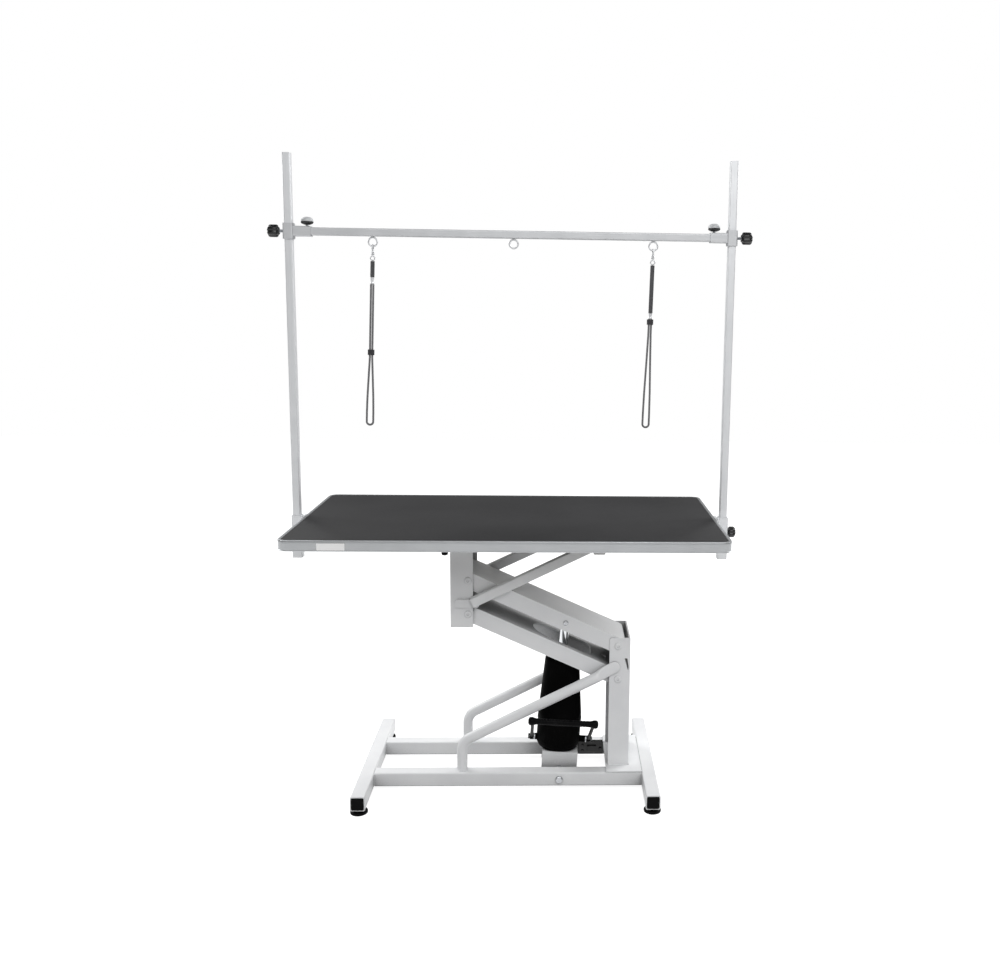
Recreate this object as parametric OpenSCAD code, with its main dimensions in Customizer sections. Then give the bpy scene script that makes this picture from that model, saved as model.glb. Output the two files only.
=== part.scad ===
// Hydraulic grooming table: a pedal pump lifts a level top on two parallel arms.
// Millimetres. +X to the right, +Y to the back, +Z up. Origin on the floor, centre.

/* [Lift] */
// length of both lift arms between their pivots
arm_len = 440; // [425:1:450]
// angle of the arms above level at rest
rest_angle = 24.2; // [20:0.1:27]
// height of the upper pivot on the column
col_pivot_z = 391.5; // [388:0.5:394]
// distance of the column pivots to the right of the centre
col_pivot_x = 289; // [284:1:292]
// vertical distance between the upper and the lower pivots
pivot_gap = 92; // [90:0.5:98]
// upright height of each arm
arm_h = 43; // [40:0.5:43.5]
// play of the upper arm between the column's cheeks, each side
upper_arm_play = 1; // [0.5:0.1:1.5]
// room between the folded lower arm and the upper arm's cheeks, each side
nest_play = 1; // [0.7:0.1:2]
// sheet thickness of the arms
arm_t = 4; // [3:0.5:4.5]
// how far each arm reaches past its pivots
arm_reach = 14; // [11:1:14]
// start of the window in the lower arm, from the column pivot
window_start = 88; // [84:1:92]
// end of the window in the lower arm
window_end = 262; // [260:1:268]
// diameter of the pivot pins
pin_d = 10; // [8:1:10]
// diameter of the pin heads
pin_head_d = 20; // [16:1:22]
// height of the low pin heads
pin_head_t = 4; // [3:0.5:5]
// running clearance on radius of every pin
pin_fit = 0.05; // [0.02:0.01:0.08]
// from the upper table pivot up to the table surface
bracket_drop = 159.1; // [156:0.1:165]

/* [Base] */
// length of the two cross tubes, with caps
cross_len = 496; // [460:2:560]
// distance of each cross tube's centre from the middle of the base
cross_x = 377.5; // [370:0.5:385]
// offset of the base tubes to the right
base_shift = -2.5; // [-5:0.5:2]
// side of the square base tubes
tube_s = 38; // [36:1:40]
// wall of the base tubes
tube_t = 3; // [2.5:0.1:3.2]
// corner radius of the base tubes
tube_r = 4; // [3:0.5:5]
// distance of each rail's centre from the middle
rail_y = 96.4; // [95:0.1:104]
// underside of the base tubes above the floor
base_lift = 13.5; // [13:0.5:18]
// how far the black end plugs stand out of their tubes
cap_t = 1.5; // [1:0.5:3]
// diameter of the levelling feet
foot_d = 45; // [40:1:50]
// distance of each foot from the end of its tube
foot_inset = 22; // [20:1:40]
// outside width of the column
col_w = 154; // [153:1:156]
// left edge of the column
col_left = 266; // [260:1:268]
// right edge of the column
col_right = 322; // [320:1:328]
// height of the top of the column
col_top = 414.5; // [412:0.5:425]
// sheet thickness of the column and the table bracket
col_t = 4; // [3.5:0.5:4.5]
// thickness of the plate under the column
plate_t = 4; // [3:0.5:6]
// diameter of the lower stay tubes
stay_d = 28; // [25:1:30]
// wall of the lower stay tubes
stay_t = 2; // [1.5:0.1:2.5]
// distance of the upright part of the lower stays left of the centre
stay_x = 128; // [110:1:150]
// height of the bend of the front stay
front_bend_z = 130; // [124:1:145]
// height of the bend of the rear stay
rear_bend_z = 130; // [120:1:140]
// bend radius of the lower stays
stay_bend_r = 38; // [34:1:44]
// height of the front stay at the column
front_stay_top = 335; // [331:1:345]
// height of the rear stay at the column
rear_stay_top = 338; // [334:1:345]

/* [Pump] */
// position of the pump pivot right of the centre
pump_x = 133; // [131:0.5:135]
// lean of the pump to the right at rest
pump_lean = 3.4; // [3.2:0.1:3.6]
// diameter of the pump's axle
axle_d = 12; // [10:1:14]
// diameter of the chrome ram
ram_d = 24; // [20:1:25]
// length of the ram below its eye
ram_len = 256; // [250:1:262]
// distance of the ram pin from the column pivot
ram_r = 155; // [154:0.5:156]
// diameter of the round pump body
bucket_d = 120; // [115:1:122]
// front to back size of the cover above it
boot_w = 84; // [76:1:86]
// diameter of the cover at its top
boot_top_d = 94; // [90:1:98]
// height of the cover's top above the pump pivot
boot_top = 310; // [302:1:314]
// lean of the cover to the left of the pump's own axis
boot_tilt = 1.2; // [0:0.1:1.6]
// diameter of the hole in the cover for the ram
gland_d = 49; // [48:0.5:50]
// width of the pedal tread
tread_len = 185; // [170:1:195]
// diameter of the pedal tread
tread_d = 18; // [16:1:22]
// how far the tread stands in front of the pedal pivot
tread_out = 145; // [135:1:160]
// height of the tread above the pedal pivot
tread_up = 105.5; // [95:0.5:110]

/* [Table] */
// length of the table
table_len = 1100; // [1000:5:1110]
// depth of the table
table_dep = 600; // [520:5:620]
// thickness of the table edge
table_thick = 27; // [24:0.5:32]
// thickness of the rubber mat
mat_t = 3.5; // [2:0.5:5]
// width of the metal edge
trim_w = 8; // [6:0.5:10]
// outside radius of the table corners
corner_r = 25; // [20:1:40]
// height of the frame tubes under the table
frame_h = 22; // [18:1:25]
// width of the frame tubes under the table
frame_w = 30; // [24:1:36]
// side of the upper stay tubes
top_stay_s = 25; // [22:1:27]

/* [Overhead frame] */
// side of the square posts
post_s = 20; // [18:1:21]
// distance of each post's centre from the end of the table
post_gap = 22.3; // [21:0.1:26]
// height of the posts above the table
post_rise = 938; // [880:1:980]
// corner radius of the posts
post_r = 3; // [2:0.5:3.5]
// wall of the posts and the bar
post_t = 1.5; // [1.2:0.1:2]
// height of the bar above the table
bar_rise = 743; // [700:1:760]
// side of the square bar
bar_s = 20; // [18:1:20]
// outside size of the sleeves and collars
sleeve_s = 27; // [26.5:0.5:28]
// length of the table sleeves
sleeve_len = 115; // [90:1:130]
// height of the collars on the posts
collar_h = 40; // [36:1:46]
// clearance of posts and bar in their sleeves, each side
slide_gap = 0.3; // [0.3:0.05:0.5]
// length of the sockets that hold the bar
socket_len = 44; // [36:1:60]
// diameter of the clamping knobs
knob_d = 32; // [28:1:34]
// diameter of the clamping screws
screw_d = 8; // [6:1:8]
// radius of the hanging eyes, to the middle of the wire
eye_r = 11; // [10:0.5:12]
// distance between hanging eyes
eye_pitch = 363; // [340:1:370]
// offset of the hanging eyes to the right
eye_shift = 4; // [0:1:6]
// thickness of the noose cord
cord_d = 5.5; // [5:0.1:5.8]
// lean of the left noose to the left
left_lean = 2; // [1.8:0.1:2.2]
// lean of the right noose to the left
right_lean = 1.3; // [1.1:0.1:1.5]

/* [Hidden] */
$fn = 48;
eps = 0.01;
gap = 0.3;
weld = 0.05;
// the arms' outside widths follow the column: the lower one folds into the upper one
upper_arm_w = col_w - 2 * (col_t + upper_arm_play);
lower_arm_w = upper_arm_w - 2 * (arm_t + nest_play);
// lift geometry
p1 = [col_pivot_x, col_pivot_z];
p2 = [col_pivot_x, col_pivot_z - pivot_gap];
arm_dx = arm_len * cos(rest_angle);
arm_dz = arm_len * sin(rest_angle);
p3 = [p1[0] - arm_dx, p1[1] + arm_dz];
p4 = [p2[0] - arm_dx, p2[1] + arm_dz];
top_z = p3[1] + bracket_drop;
under_z = top_z - table_thick;
frame_z = under_z - frame_h;
// base
base_top = base_lift + tube_s;
rail_in = rail_y - tube_s / 2;
rail_out = rail_y + tube_s / 2;
plate_top = base_top + plate_t;
foot_y = cross_len / 2 - foot_inset;
foot_h = 11;
stud_d = 10;
rail_half = cross_x - tube_s / 2;
plug_len = 12;
stay_y = col_w / 2 + stay_d / 2;
bend_lap = 0.3;
bend_lap_turn = 1.5;
bend_swell = 0.3;
tongue_t = 8;
tongue_drop = 5;
block_t = 14;
tongue_x = col_pivot_x - 8;
// table bracket
brk_left = p3[0] - 46.3;
brk_right = p3[0] + 13.3;
brk_bottom = p4[1] - 36;
brk_plate_t = 6;
// ends of the upper stays' centre lines, from the upper pivot on the bracket
front_stay_foot = [13, -55.6];
front_stay_head = [282.3, 75.1];
rear_stay_foot = [13, -27];
rear_stay_head = [331, 124];
// long and cross tubes under the table
frame_y = 95;
frame_end = 70;
frame_cross_end = 110;
// pump
pump_z = base_lift + tube_s / 2;
cover_off = -7;
bucket_low = 48;
bucket_top = 130;
yoke_w = 97;
yoke_y = 50;
yoke_low = -16;
pedal_z = 70;
pedal_y = -5;
pedal_half = 79;
pedal_off = -1.5;
tread_off = -0.5;
cyl_od = 66;
cyl_low = bucket_low + 8;
cyl_top = boot_top - 22;
boot_edge = 12;
boot_wall = 3;
ram_eye_d = 24;
ram_pin = [p1[0] - ram_r * cos(rest_angle), p1[1] + ram_r * sin(rest_angle)];
lug_y = 19;
lug_t = 5;
lug_r = 12;
window_rim = 17;
collar_d = 18;
collar_w = 5;
// table
mat_z = top_z - 0.5 - mat_t;
trim_in = corner_r - trim_w;
post_x = table_len / 2 + post_gap;
post_low = top_z - sleeve_len;
bar_z = top_z + bar_rise;
sleeve_in = post_s + 2 * slide_gap;
sleeve_x = post_x - sleeve_s / 2;
socket_s = bar_s + 6;
socket_in = bar_s + 2 * slide_gap;
socket_end = sleeve_x - socket_len;
bar_knob_x = socket_end + 10.5;
knob_drop = 41;
back_screw_off = 2.5;
// hanging eyes and nooses
eye_wire = 2.25;
eye_z = bar_z - bar_s / 2 - eye_r - eye_wire - 0.5;
hang_z = eye_z - eye_r;
hook_r = 8;
hook_wire = 1.8;
band_w = 11;
band_d = 5;
// noose depths below the hanging point: hook end, band end, ferrule end
left_levels = [38, 79, 97];
right_levels = [38, 162, 177];
keeper_h = 14;
left_keeper_at = 266;
right_keeper_at = 178;
// half width of the loop against depth
left_keys = [[97, 3.1], [286, 3.1], [330, 5], [390, 7.6], [430, 8.4], [460, 8.4]];
right_keys = [[177, 3.1], [216, 3.1], [290, 5], [370, 7.4], [430, 8.4], [460, 8.4]];
noose_end = 464;
ring_step = 14;
cord_sides = 10;
white = [0.93, 0.93, 0.94];
steel = [0.78, 0.79, 0.8];
black = [0.07, 0.07, 0.08];

// rounded rectangle, centred
module rsq(w, h, r) {
  union() {
    square([w - 2 * r, h], center = true);
    square([w, h - 2 * r], center = true);
    for (sx = [-1, 1]) {
      for (sy = [-1, 1]) {
        translate([sx * (w / 2 - r), sy * (h / 2 - r)]) circle(r = r);
      }
    }
  }
}

// rounded rectangular tube section
module rtube2(w, h, r, t) {
  difference() {
    rsq(w, h, r);
    rsq(w - 2 * t, h - 2 * t, r - t / 2);
  }
}

// extrude a section along +X, section x to Y and y to Z
module along_x(len) {
  rotate([90, 0, 90]) linear_extrude(len) children();
}

// extrude a section along +Y, section x to X and y to Z
module along_y(y0, y1) {
  translate([0, y1, 0]) rotate([90, 0, 0]) linear_extrude(y1 - y0) children();
}

// round bar along Y
module bar_y(x, z, y0, y1, d) {
  translate([x, y1, z]) rotate([90, 0, 0]) cylinder(d = d, h = y1 - y0);
}

// round bar along X
module bar_x(x0, x1, y, z, d) {
  translate([x0, y, z]) rotate([0, 90, 0]) cylinder(d = d, h = x1 - x0);
}

// place a piece drawn along -X from a pivot at the rest angle
module at_arm(p) {
  translate([p[0], 0, p[1]]) rotate([0, rest_angle, 0]) children();
}

// frame of the leaning pump, origin on its pivot
module at_pump() {
  translate([pump_x, 0, pump_z]) rotate([0, pump_lean, 0]) children();
}

module cross_tube(side) {
  body_len = cross_len - 2 * cap_t;
  color(white) difference() {
    translate([base_shift + side * cross_x, 0, base_lift + tube_s / 2])
      along_y(-body_len / 2, body_len / 2) rtube2(tube_s, tube_s, tube_r, tube_t);
    for (sy = [-1, 1]) {
      translate([base_shift + side * cross_x, sy * foot_y, base_lift - 1])
        cylinder(d = stud_d + 2 * pin_fit, h = tube_t + 2);
    }
  }
}
module left_cross_tube() cross_tube(-1);
module right_cross_tube() cross_tube(1);

module rail(side) {
  color(white) difference() {
    translate([base_shift - rail_half, side * rail_y, base_lift + tube_s / 2])
      along_x(2 * rail_half) rtube2(tube_s, tube_s, tube_r, tube_t);
    bar_y(pump_x, pump_z, side * rail_y - tube_s, side * rail_y + tube_s,
      axle_d + 2 * pin_fit);
  }
}
module front_rail() rail(-1);
module rear_rail() rail(1);

module cross_tube_caps() {
  half = cross_len / 2;
  plug = tube_s - 2 * tube_t;
  in_end = half - cap_t - plug_len;
  color(black) for (sx = [-1, 1]) {
    for (sy = [-1, 1]) {
      translate([base_shift + sx * cross_x, 0, base_lift + tube_s / 2])
        along_y(sy > 0 ? in_end : -half, sy > 0 ? half : -in_end) rsq(plug, plug, tube_r);
    }
  }
}

module column_plate() {
  left = col_left - 6;
  right = rail_half + base_shift;
  color(white) translate([(left + right) / 2, 0, base_top])
    linear_extrude(plate_t) square([right - left, 2 * rail_out], center = true);
}

// U section open to the left
module channel2(x0, x1, w, t) {
  union() {
    translate([x0, -w / 2]) square([x1 - x0, t]);
    translate([x0, w / 2 - t]) square([x1 - x0, t]);
    translate([x1 - t, -w / 2]) square([t, w]);
  }
}

module column() {
  h = col_top - plate_top;
  color(white) difference() {
    translate([0, 0, plate_top]) linear_extrude(h)
      channel2(col_left, col_right, col_w, col_t);
    for (p = [p1, p2]) {
      bar_y(p[0], p[1], -col_w, col_w, pin_d + 2 * pin_fit);
    }
    // slanted sight slots beside the lower pivots
    for (sy = [-1, 1]) {
      along_y(sy * (col_w / 2 - col_t / 2) - col_t, sy * (col_w / 2 - col_t / 2) + col_t)
        polygon([[col_right - 15, 358], [col_right - 8, 358],
          [col_right - col_t - gap, 336], [col_right - col_t - gap, 326],
          [col_right - 6, 326]]);
    }
    // round the upper left corners of both cheeks
    translate([col_left - eps, -col_w, col_top - 8 + eps]) difference() {
      cube([8, 2 * col_w, 8]);
      translate([8, -1, 0]) rotate([-90, 0, 0]) cylinder(r = 8, h = 2 * col_w + 2);
    }
  }
}

// bent stay path: upright, bend, slope; drawn in the XZ plane at y = 0.
// The bend laps over both straights by a hair so that the three join as one.
module stay_path(bend_z, end_z, d, extra) {
  rise = atan2(end_z - bend_z, tongue_x + stay_x);
  turn = 90 - rise;
  tang = stay_bend_r * tan(turn / 2);
  run = (tongue_x - 24 + stay_x) / cos(rise) - tang;
  translate([-stay_x, 0, base_top + weld - extra])
    cylinder(d = d, h = bend_z - tang - base_top - weld + extra + bend_lap);
  translate([-stay_x + stay_bend_r, 0, bend_z - tang]) rotate([90, 0, 0])
    rotate([0, 0, 180 - turn - bend_lap_turn])
    rotate_extrude(angle = turn + 2 * bend_lap_turn)
    translate([stay_bend_r, 0]) circle(d = d + bend_swell);
  translate([-stay_x + tang * cos(rise), 0, bend_z + tang * sin(rise)])
    rotate([0, 90 - rise, 0]) translate([0, 0, -bend_lap])
    cylinder(d = d, h = run + extra + bend_lap);
}

module lower_stay(side, bend_z, end_z) {
  rise = atan2(end_z - bend_z, tongue_x + stay_x);
  color(white) translate([0, side * stay_y, 0]) {
    difference() {
      stay_path(bend_z, end_z, stay_d, 0);
      stay_path(bend_z, end_z, stay_d - 2 * stay_t, 1);
    }
    // flattened tongue welded to the column cheek
    translate([tongue_x, -side * (stay_d / 2 - tongue_t / 2), end_z])
      rotate([0, -rise, 0]) along_y(-tongue_t / 2, tongue_t / 2) union() {
        translate([-44, -stay_d / 2 + stay_t]) square([44, stay_d - 2 * stay_t]);
        circle(d = stay_d - 2 * stay_t);
      }
  }
}
module front_stay() lower_stay(-1, front_bend_z, front_stay_top);
module rear_stay() lower_stay(1, rear_bend_z, rear_stay_top);

module pump_axle() {
  color(steel) union() {
    bar_y(pump_x, pump_z, -rail_out - 1, rail_out + 1, axle_d);
    for (sy = [-1, 1]) {
      bar_y(pump_x, pump_z, sy > 0 ? rail_out : -rail_out - 6,
        sy > 0 ? rail_out + 6 : -rail_out, 18);
      bar_y(pump_x, pump_z, sy > 0 ? yoke_y + gap : -rail_in,
        sy > 0 ? rail_in : -yoke_y - gap, 20);
    }
  }
}

module valve_block() {
  face = rail_in - block_t;
  color(black) union() {
    translate([col_left - 76, face, base_lift + 7]) cube([69, block_t, tube_s]);
    translate([col_left - 52, face - 6, base_lift + 16]) cube([26, 7, 18]);
    bar_y(col_left - 14, base_lift + 24, face - 5, face + 1, 10);
  }
}

module foot(sx, sy) {
  color(black) translate([base_shift + sx * cross_x, sy * foot_y, 0]) {
    union() {
      rotate_extrude() polygon([[0, 0], [foot_d / 2 - 1, 0], [foot_d / 2, 1.5],
        [foot_d / 2, 6], [foot_d / 2 - 4, 9], [12, foot_h], [0, foot_h]]);
      cylinder(d = stud_d, h = base_lift + tube_t + 22);
    }
  }
}
module foot_front_left() foot(-1, -1);
module foot_front_right() foot(1, -1);
module foot_rear_left() foot(-1, 1);
module foot_rear_right() foot(1, 1);

// side view outline of an arm, pivot at the origin, arm along -X
module arm_side() {
  len = arm_len + 2 * arm_reach;
  translate([-arm_len / 2, 0]) rsq(len, arm_h, 5);
}

// channel arm, open below, with its four pivot holes
module arm_shell(w) {
  len = arm_len + 2 * arm_reach;
  difference() {
    along_y(-w / 2, w / 2) arm_side();
    translate([-arm_len - 2 * arm_reach, -w / 2 + arm_t, -arm_h])
      cube([len + 2 * arm_reach, w - 2 * arm_t, arm_h * 1.5 - arm_t]);
    for (x = [0, -arm_len]) {
      bar_y(x, 0, -w, w, pin_d + 2 * pin_fit);
    }
  }
}

module upper_arm() {
  color(white) at_arm(p1) difference() {
    union() {
      arm_shell(upper_arm_w);
      // lugs of the ram
      for (sy = [-1, 1]) {
        along_y(sy > 0 ? lug_y : -lug_y - lug_t, sy > 0 ? lug_y + lug_t : -lug_y)
          translate([-ram_r, 0]) union() {
            circle(r = lug_r);
            translate([-lug_r, 0]) square([2 * lug_r, arm_h / 2 - arm_t + eps]);
          }
      }
    }
    bar_y(-ram_r, 0, -upper_arm_w, upper_arm_w, pin_d + 2 * pin_fit);
  }
}

// low round head on a cheek, at both ends of a pin
module pin_heads(x) {
  face = col_w / 2 + gap;
  for (sy = [-1, 1]) {
    bar_y(x, 0, sy > 0 ? face : -face - pin_head_t, sy > 0 ? face + pin_head_t : -face,
      pin_head_d);
  }
}

module arm_pins() {
  half = col_w / 2 + 1;
  color(steel) at_arm(p1) for (x = [0, -arm_len]) {
    union() {
      bar_y(x, 0, -half, half, pin_d);
      pin_heads(x);
    }
  }
}

module ram_pin() {
  half = upper_arm_w / 2;
  color(steel) at_arm(p1) union() {
    bar_y(-ram_r, 0, -half - 1, half + 1, pin_d);
    for (sy = [-1, 1]) {
      bar_y(-ram_r, 0, sy > 0 ? half : -half - 4, sy > 0 ? half + 4 : -half, 14);
    }
  }
}

// window outline: rounded at the column end, half round at the far end
module window2() {
  corner = 24;
  half = lower_arm_w / 2 - arm_t - window_rim;
  mid = window_end - half;
  union() {
    translate([-(window_start + mid + corner) / 2, 0])
      rsq(mid + corner - window_start, 2 * half, corner);
    translate([-mid, 0]) circle(r = half);
  }
}

module lower_arm() {
  web_low = arm_h / 2 - arm_t - 1;
  color(white) at_arm(p2) difference() {
    arm_shell(lower_arm_w);
    translate([0, 0, web_low]) linear_extrude(arm_t + 2) window2();
    translate([-window_start / 2 - 4, 0, web_low]) cylinder(d = 14, h = arm_t + 2);
  }
}

module lower_arm_axles() {
  half = col_w / 2 + 1;
  stop = lower_arm_w / 2 - arm_t - gap;
  color(steel) at_arm(p2) for (x = [0, -arm_len]) {
    union() {
      bar_y(x, 0, -half, half, pin_d);
      pin_heads(x);
      for (sy = [-1, 1]) {
        bar_y(x, 0, sy > 0 ? stop - collar_w : -stop, sy > 0 ? stop : collar_w - stop,
          collar_d);
      }
    }
  }
}

module table_bracket() {
  color(white) difference() {
    union() {
      translate([brk_left + brk_right, 0, brk_bottom]) mirror([1, 0, 0])
        linear_extrude(frame_z - brk_bottom) channel2(brk_left, brk_right, col_w, col_t);
      translate([brk_left - 12, -110, frame_z - brk_plate_t])
        cube([brk_right - brk_left + 50, 220, brk_plate_t]);
    }
    for (p = [p3, p4]) {
      bar_y(p[0], p[1], -col_w, col_w, pin_d + 2 * pin_fit);
    }
  }
}

// square stay from the bracket up to the frame, through a foot and a head point
module table_stay(side, foot, head) {
  x0 = foot[0];
  z0 = foot[1];
  rise = atan2(head[1] - z0, head[0] - x0);
  s = top_stay_s;
  yc = side * (col_w / 2 + s / 2);
  ty = side * (col_w / 2 + tongue_t / 2 + gap);
  run = (frame_z - z0) / sin(rise) + s;
  flat_from = brk_left + 14;
  color(white) difference() {
    union() {
      translate([x0, yc, z0]) rotate([0, -rise, 0]) along_x(run) rtube2(s, s, 3, 1.8);
      translate([0, ty, z0 - tongue_drop]) along_y(-tongue_t / 2, tongue_t / 2)
        translate([(flat_from + x0) / 2 + 8, 0]) rsq(x0 - flat_from + 18, s - 3, 6);
    }
    translate([x0, yc - s, frame_z]) cube([2 * run, 2 * s, 3 * s]);
  }
}
module front_table_stay() table_stay(-1, p3 + front_stay_foot, p3 + front_stay_head);
module rear_table_stay() table_stay(1, p3 + rear_stay_foot, p3 + rear_stay_head);

module under_frame_long() {
  color(white) for (sy = [-1, 1]) {
    translate([-table_len / 2 + frame_end, sy * frame_y, frame_z + frame_h / 2])
      along_x(table_len - 2 * frame_end) rtube2(frame_w, frame_h, 3, 2);
  }
}

module under_frame_cross() {
  inner = frame_y - frame_w / 2;
  color(white) {
    for (x = [frame_cross_end - table_len / 2, p3[0] + 300, table_len / 2 - frame_cross_end]) {
      translate([x, 0, frame_z + frame_h / 2])
        along_y(-inner, inner) rtube2(frame_w, frame_h, 3, 2);
    }
    // pads that carry the upper ends of the stays
    for (sy = [-1, 1]) {
      translate([p3[0] + 340, sy * (frame_y + frame_w / 2 + 60), frame_z + frame_h / 2])
        along_y(-60, 60) rtube2(frame_w, frame_h, 3, 2);
    }
  }
}

module rounded_plate(l, w, r, h) {
  linear_extrude(h) rsq(l, w, r);
}

module table_board() {
  color([0.55, 0.42, 0.3]) translate([0, 0, under_z]) rounded_plate(
    table_len - 2 * trim_w, table_dep - 2 * trim_w, trim_in, mat_z - under_z);
}

module rubber_mat() {
  color([0.25, 0.25, 0.26]) translate([0, 0, mat_z]) rounded_plate(
    table_len - 2 * trim_w, table_dep - 2 * trim_w, trim_in, mat_t);
}

module trim_ring() {
  translate([0, 0, under_z]) linear_extrude(table_thick) difference() {
    rsq(table_len, table_dep, corner_r);
    rsq(table_len - 2 * trim_w, table_dep - 2 * trim_w, trim_in);
  }
}

// square zones at the four corners
module corner_zones(cut) {
  for (sx = [-1, 1]) {
    for (sy = [-1, 1]) {
      translate([sx * (table_len / 2 - cut / 2), sy * (table_dep / 2 - cut / 2), top_z])
        cube([cut + 2 * eps, cut + 2 * eps, 4 * table_thick], center = true);
    }
  }
}

module edge_trim() {
  color(steel) difference() {
    trim_ring();
    corner_zones(corner_r + 8);
  }
}

module trim_corners() {
  color(steel) intersection() {
    trim_ring();
    corner_zones(corner_r + 8);
  }
}

// post socket with its bracket under the table, drawn for the right side
module sleeve_body() {
  end_x = table_len / 2;
  leg = 70;
  union() {
    translate([post_x, 0, top_z - sleeve_len]) linear_extrude(sleeve_len) difference() {
      rsq(sleeve_s, sleeve_s, 4);
      rsq(sleeve_in, sleeve_in, post_r + slide_gap);
    }
    translate([end_x, -35, under_z - 60]) cube([sleeve_x - end_x + 0.4, 70, 60 + table_thick - 4]);
    translate([end_x - leg, -35, under_z - 6]) cube([leg + eps, 70, 6]);
  }
}

module sleeve(side) {
  kz = top_z - knob_drop;
  color(steel) mirror([side > 0 ? 0 : 1, 0, 0]) difference() {
    sleeve_body();
    // the right screw stands outside, the left one at the back
    if (side > 0) bar_x(post_x, post_x + sleeve_s, 0, kz, screw_d + 2 * pin_fit);
    else bar_y(post_x + back_screw_off, kz, 0, sleeve_s, screw_d + 2 * pin_fit);
  }
}
module left_sleeve() sleeve(-1);
module right_sleeve() sleeve(1);

// round grip knob with a screw, axis along X, screw tip at the origin
module knob_x(shank, len, d) {
  union() {
    rotate([0, 90, 0]) cylinder(d = screw_d, h = shank + 2);
    difference() {
      translate([shank, 0, 0]) rotate([0, 90, 0]) rotate_extrude() polygon([
        [0, 0], [d / 2 - 6, 0], [d / 2 - 6, 2], [d / 2, 4], [d / 2, len - 3],
        [d / 2 - 3, len], [0, len]]);
      for (i = [0:7]) {
        rotate([i * 45, 0, 0]) translate([shank + 4, 0, d / 2 + 2.2])
          rotate([0, 90, 0]) cylinder(d = 7, h = len);
      }
    }
  }
}

// clamping knob of a table sleeve, turned about the post
module sleeve_knob(x, turn) {
  reach = (sleeve_s - post_s) / 2;
  color(black) translate([x, 0, top_z - knob_drop]) rotate([0, 0, turn])
    translate([post_s / 2 + gap, 0, 0]) knob_x(reach, 22, knob_d - 2);
}
module left_sleeve_knob() sleeve_knob(-post_x - back_screw_off, 90);
module right_sleeve_knob() sleeve_knob(post_x, 0);

module collar_knob(side) {
  reach = (sleeve_s - post_s) / 2 - gap;
  color(black) mirror([side > 0 ? 0 : 1, 0, 0])
    translate([post_x + post_s / 2 + gap, 0, bar_z]) knob_x(reach + 11, 29, knob_d);
}
module left_collar_knob() collar_knob(-1);
module right_collar_knob() collar_knob(1);

module bar_knob(side) {
  wall = (socket_s - bar_s) / 2 - gap;
  color(black) translate([side * bar_knob_x, 0, bar_z + bar_s / 2 + gap]) union() {
    cylinder(d = screw_d, h = wall + 4);
    translate([0, 0, wall + gap]) rotate_extrude() polygon([[0, 0], [6, 0],
      [8, 3], [knob_d / 2, 10], [knob_d / 2 + 0.5, 15], [knob_d / 2 - 1, 19],
      [knob_d / 2 - 5, 23], [knob_d / 2 - 10, 25.5], [0, 26]]);
  }
}
module left_bar_knob() bar_knob(-1);
module right_bar_knob() bar_knob(1);

module post(side) {
  color(steel) translate([side * post_x, 0, post_low])
    linear_extrude(top_z + post_rise - post_low - 2) rtube2(post_s, post_s, post_r, post_t);
}
module left_post() post(-1);
module right_post() post(1);

module post_plugs() {
  color(steel) for (sx = [-1, 1]) {
    translate([sx * post_x, 0, top_z + post_rise - 2]) {
      linear_extrude(2) rsq(post_s, post_s, post_r);
      translate([0, 0, -12]) linear_extrude(12 + eps)
        rsq(post_s - 2 * post_t - 0.4, post_s - 2 * post_t - 0.4, 3);
    }
  }
}

module crossbar() {
  color(steel) difference() {
    translate([-sleeve_x, 0, bar_z]) along_x(2 * sleeve_x) rtube2(bar_s, bar_s, 3, post_t);
    for (i = [-1:1]) {
      translate([i * eye_pitch + eye_shift, 0, bar_z - bar_s / 2 - 1])
        cylinder(d = 5 + 2 * pin_fit, h = 4);
    }
  }
}

module collar(side) {
  color(steel) mirror([side > 0 ? 0 : 1, 0, 0]) difference() {
    union() {
      translate([post_x, 0, bar_z - collar_h / 2]) linear_extrude(collar_h) difference() {
        rsq(sleeve_s, sleeve_s, 4);
        rsq(sleeve_in, sleeve_in, post_r + slide_gap);
      }
      translate([socket_end, 0, bar_z]) along_x(socket_len + 0.4) difference() {
        rsq(socket_s, socket_s, 4);
        rsq(socket_in, socket_in, 3 + slide_gap);
      }
    }
    bar_x(post_x, post_x + sleeve_s, 0, bar_z, screw_d + 2 * pin_fit);
    translate([bar_knob_x, 0, bar_z])
      cylinder(d = screw_d + 2 * pin_fit, h = socket_s);
  }
}
module left_collar() collar(-1);
module right_collar() collar(1);

module torus(r, wire) {
  rotate_extrude() translate([r, 0]) circle(r = wire, $fn = 20);
}

module eye_rings() {
  shank_low = eye_z + eye_r;
  color(steel) for (i = [-1:1]) {
    translate([i * eye_pitch + eye_shift, 0, 0]) union() {
      translate([0, 0, eye_z]) rotate([90, 0, 0]) torus(eye_r, eye_wire);
      translate([0, 0, shank_low - 1]) cylinder(d = 5, h = bar_z - shank_low + 1);
      translate([0, 0, bar_z - bar_s / 2 + post_t + 0.2]) cylinder(d = 9, h = 4);
    }
  }
}

// frame of a hanging noose: origin on the wire of its eye, leaning to the left
module at_noose(side) {
  translate([side * eye_pitch + eye_shift, 0, hang_z])
    rotate([0, side < 0 ? left_lean : right_lean, 0]) children();
}

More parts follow.
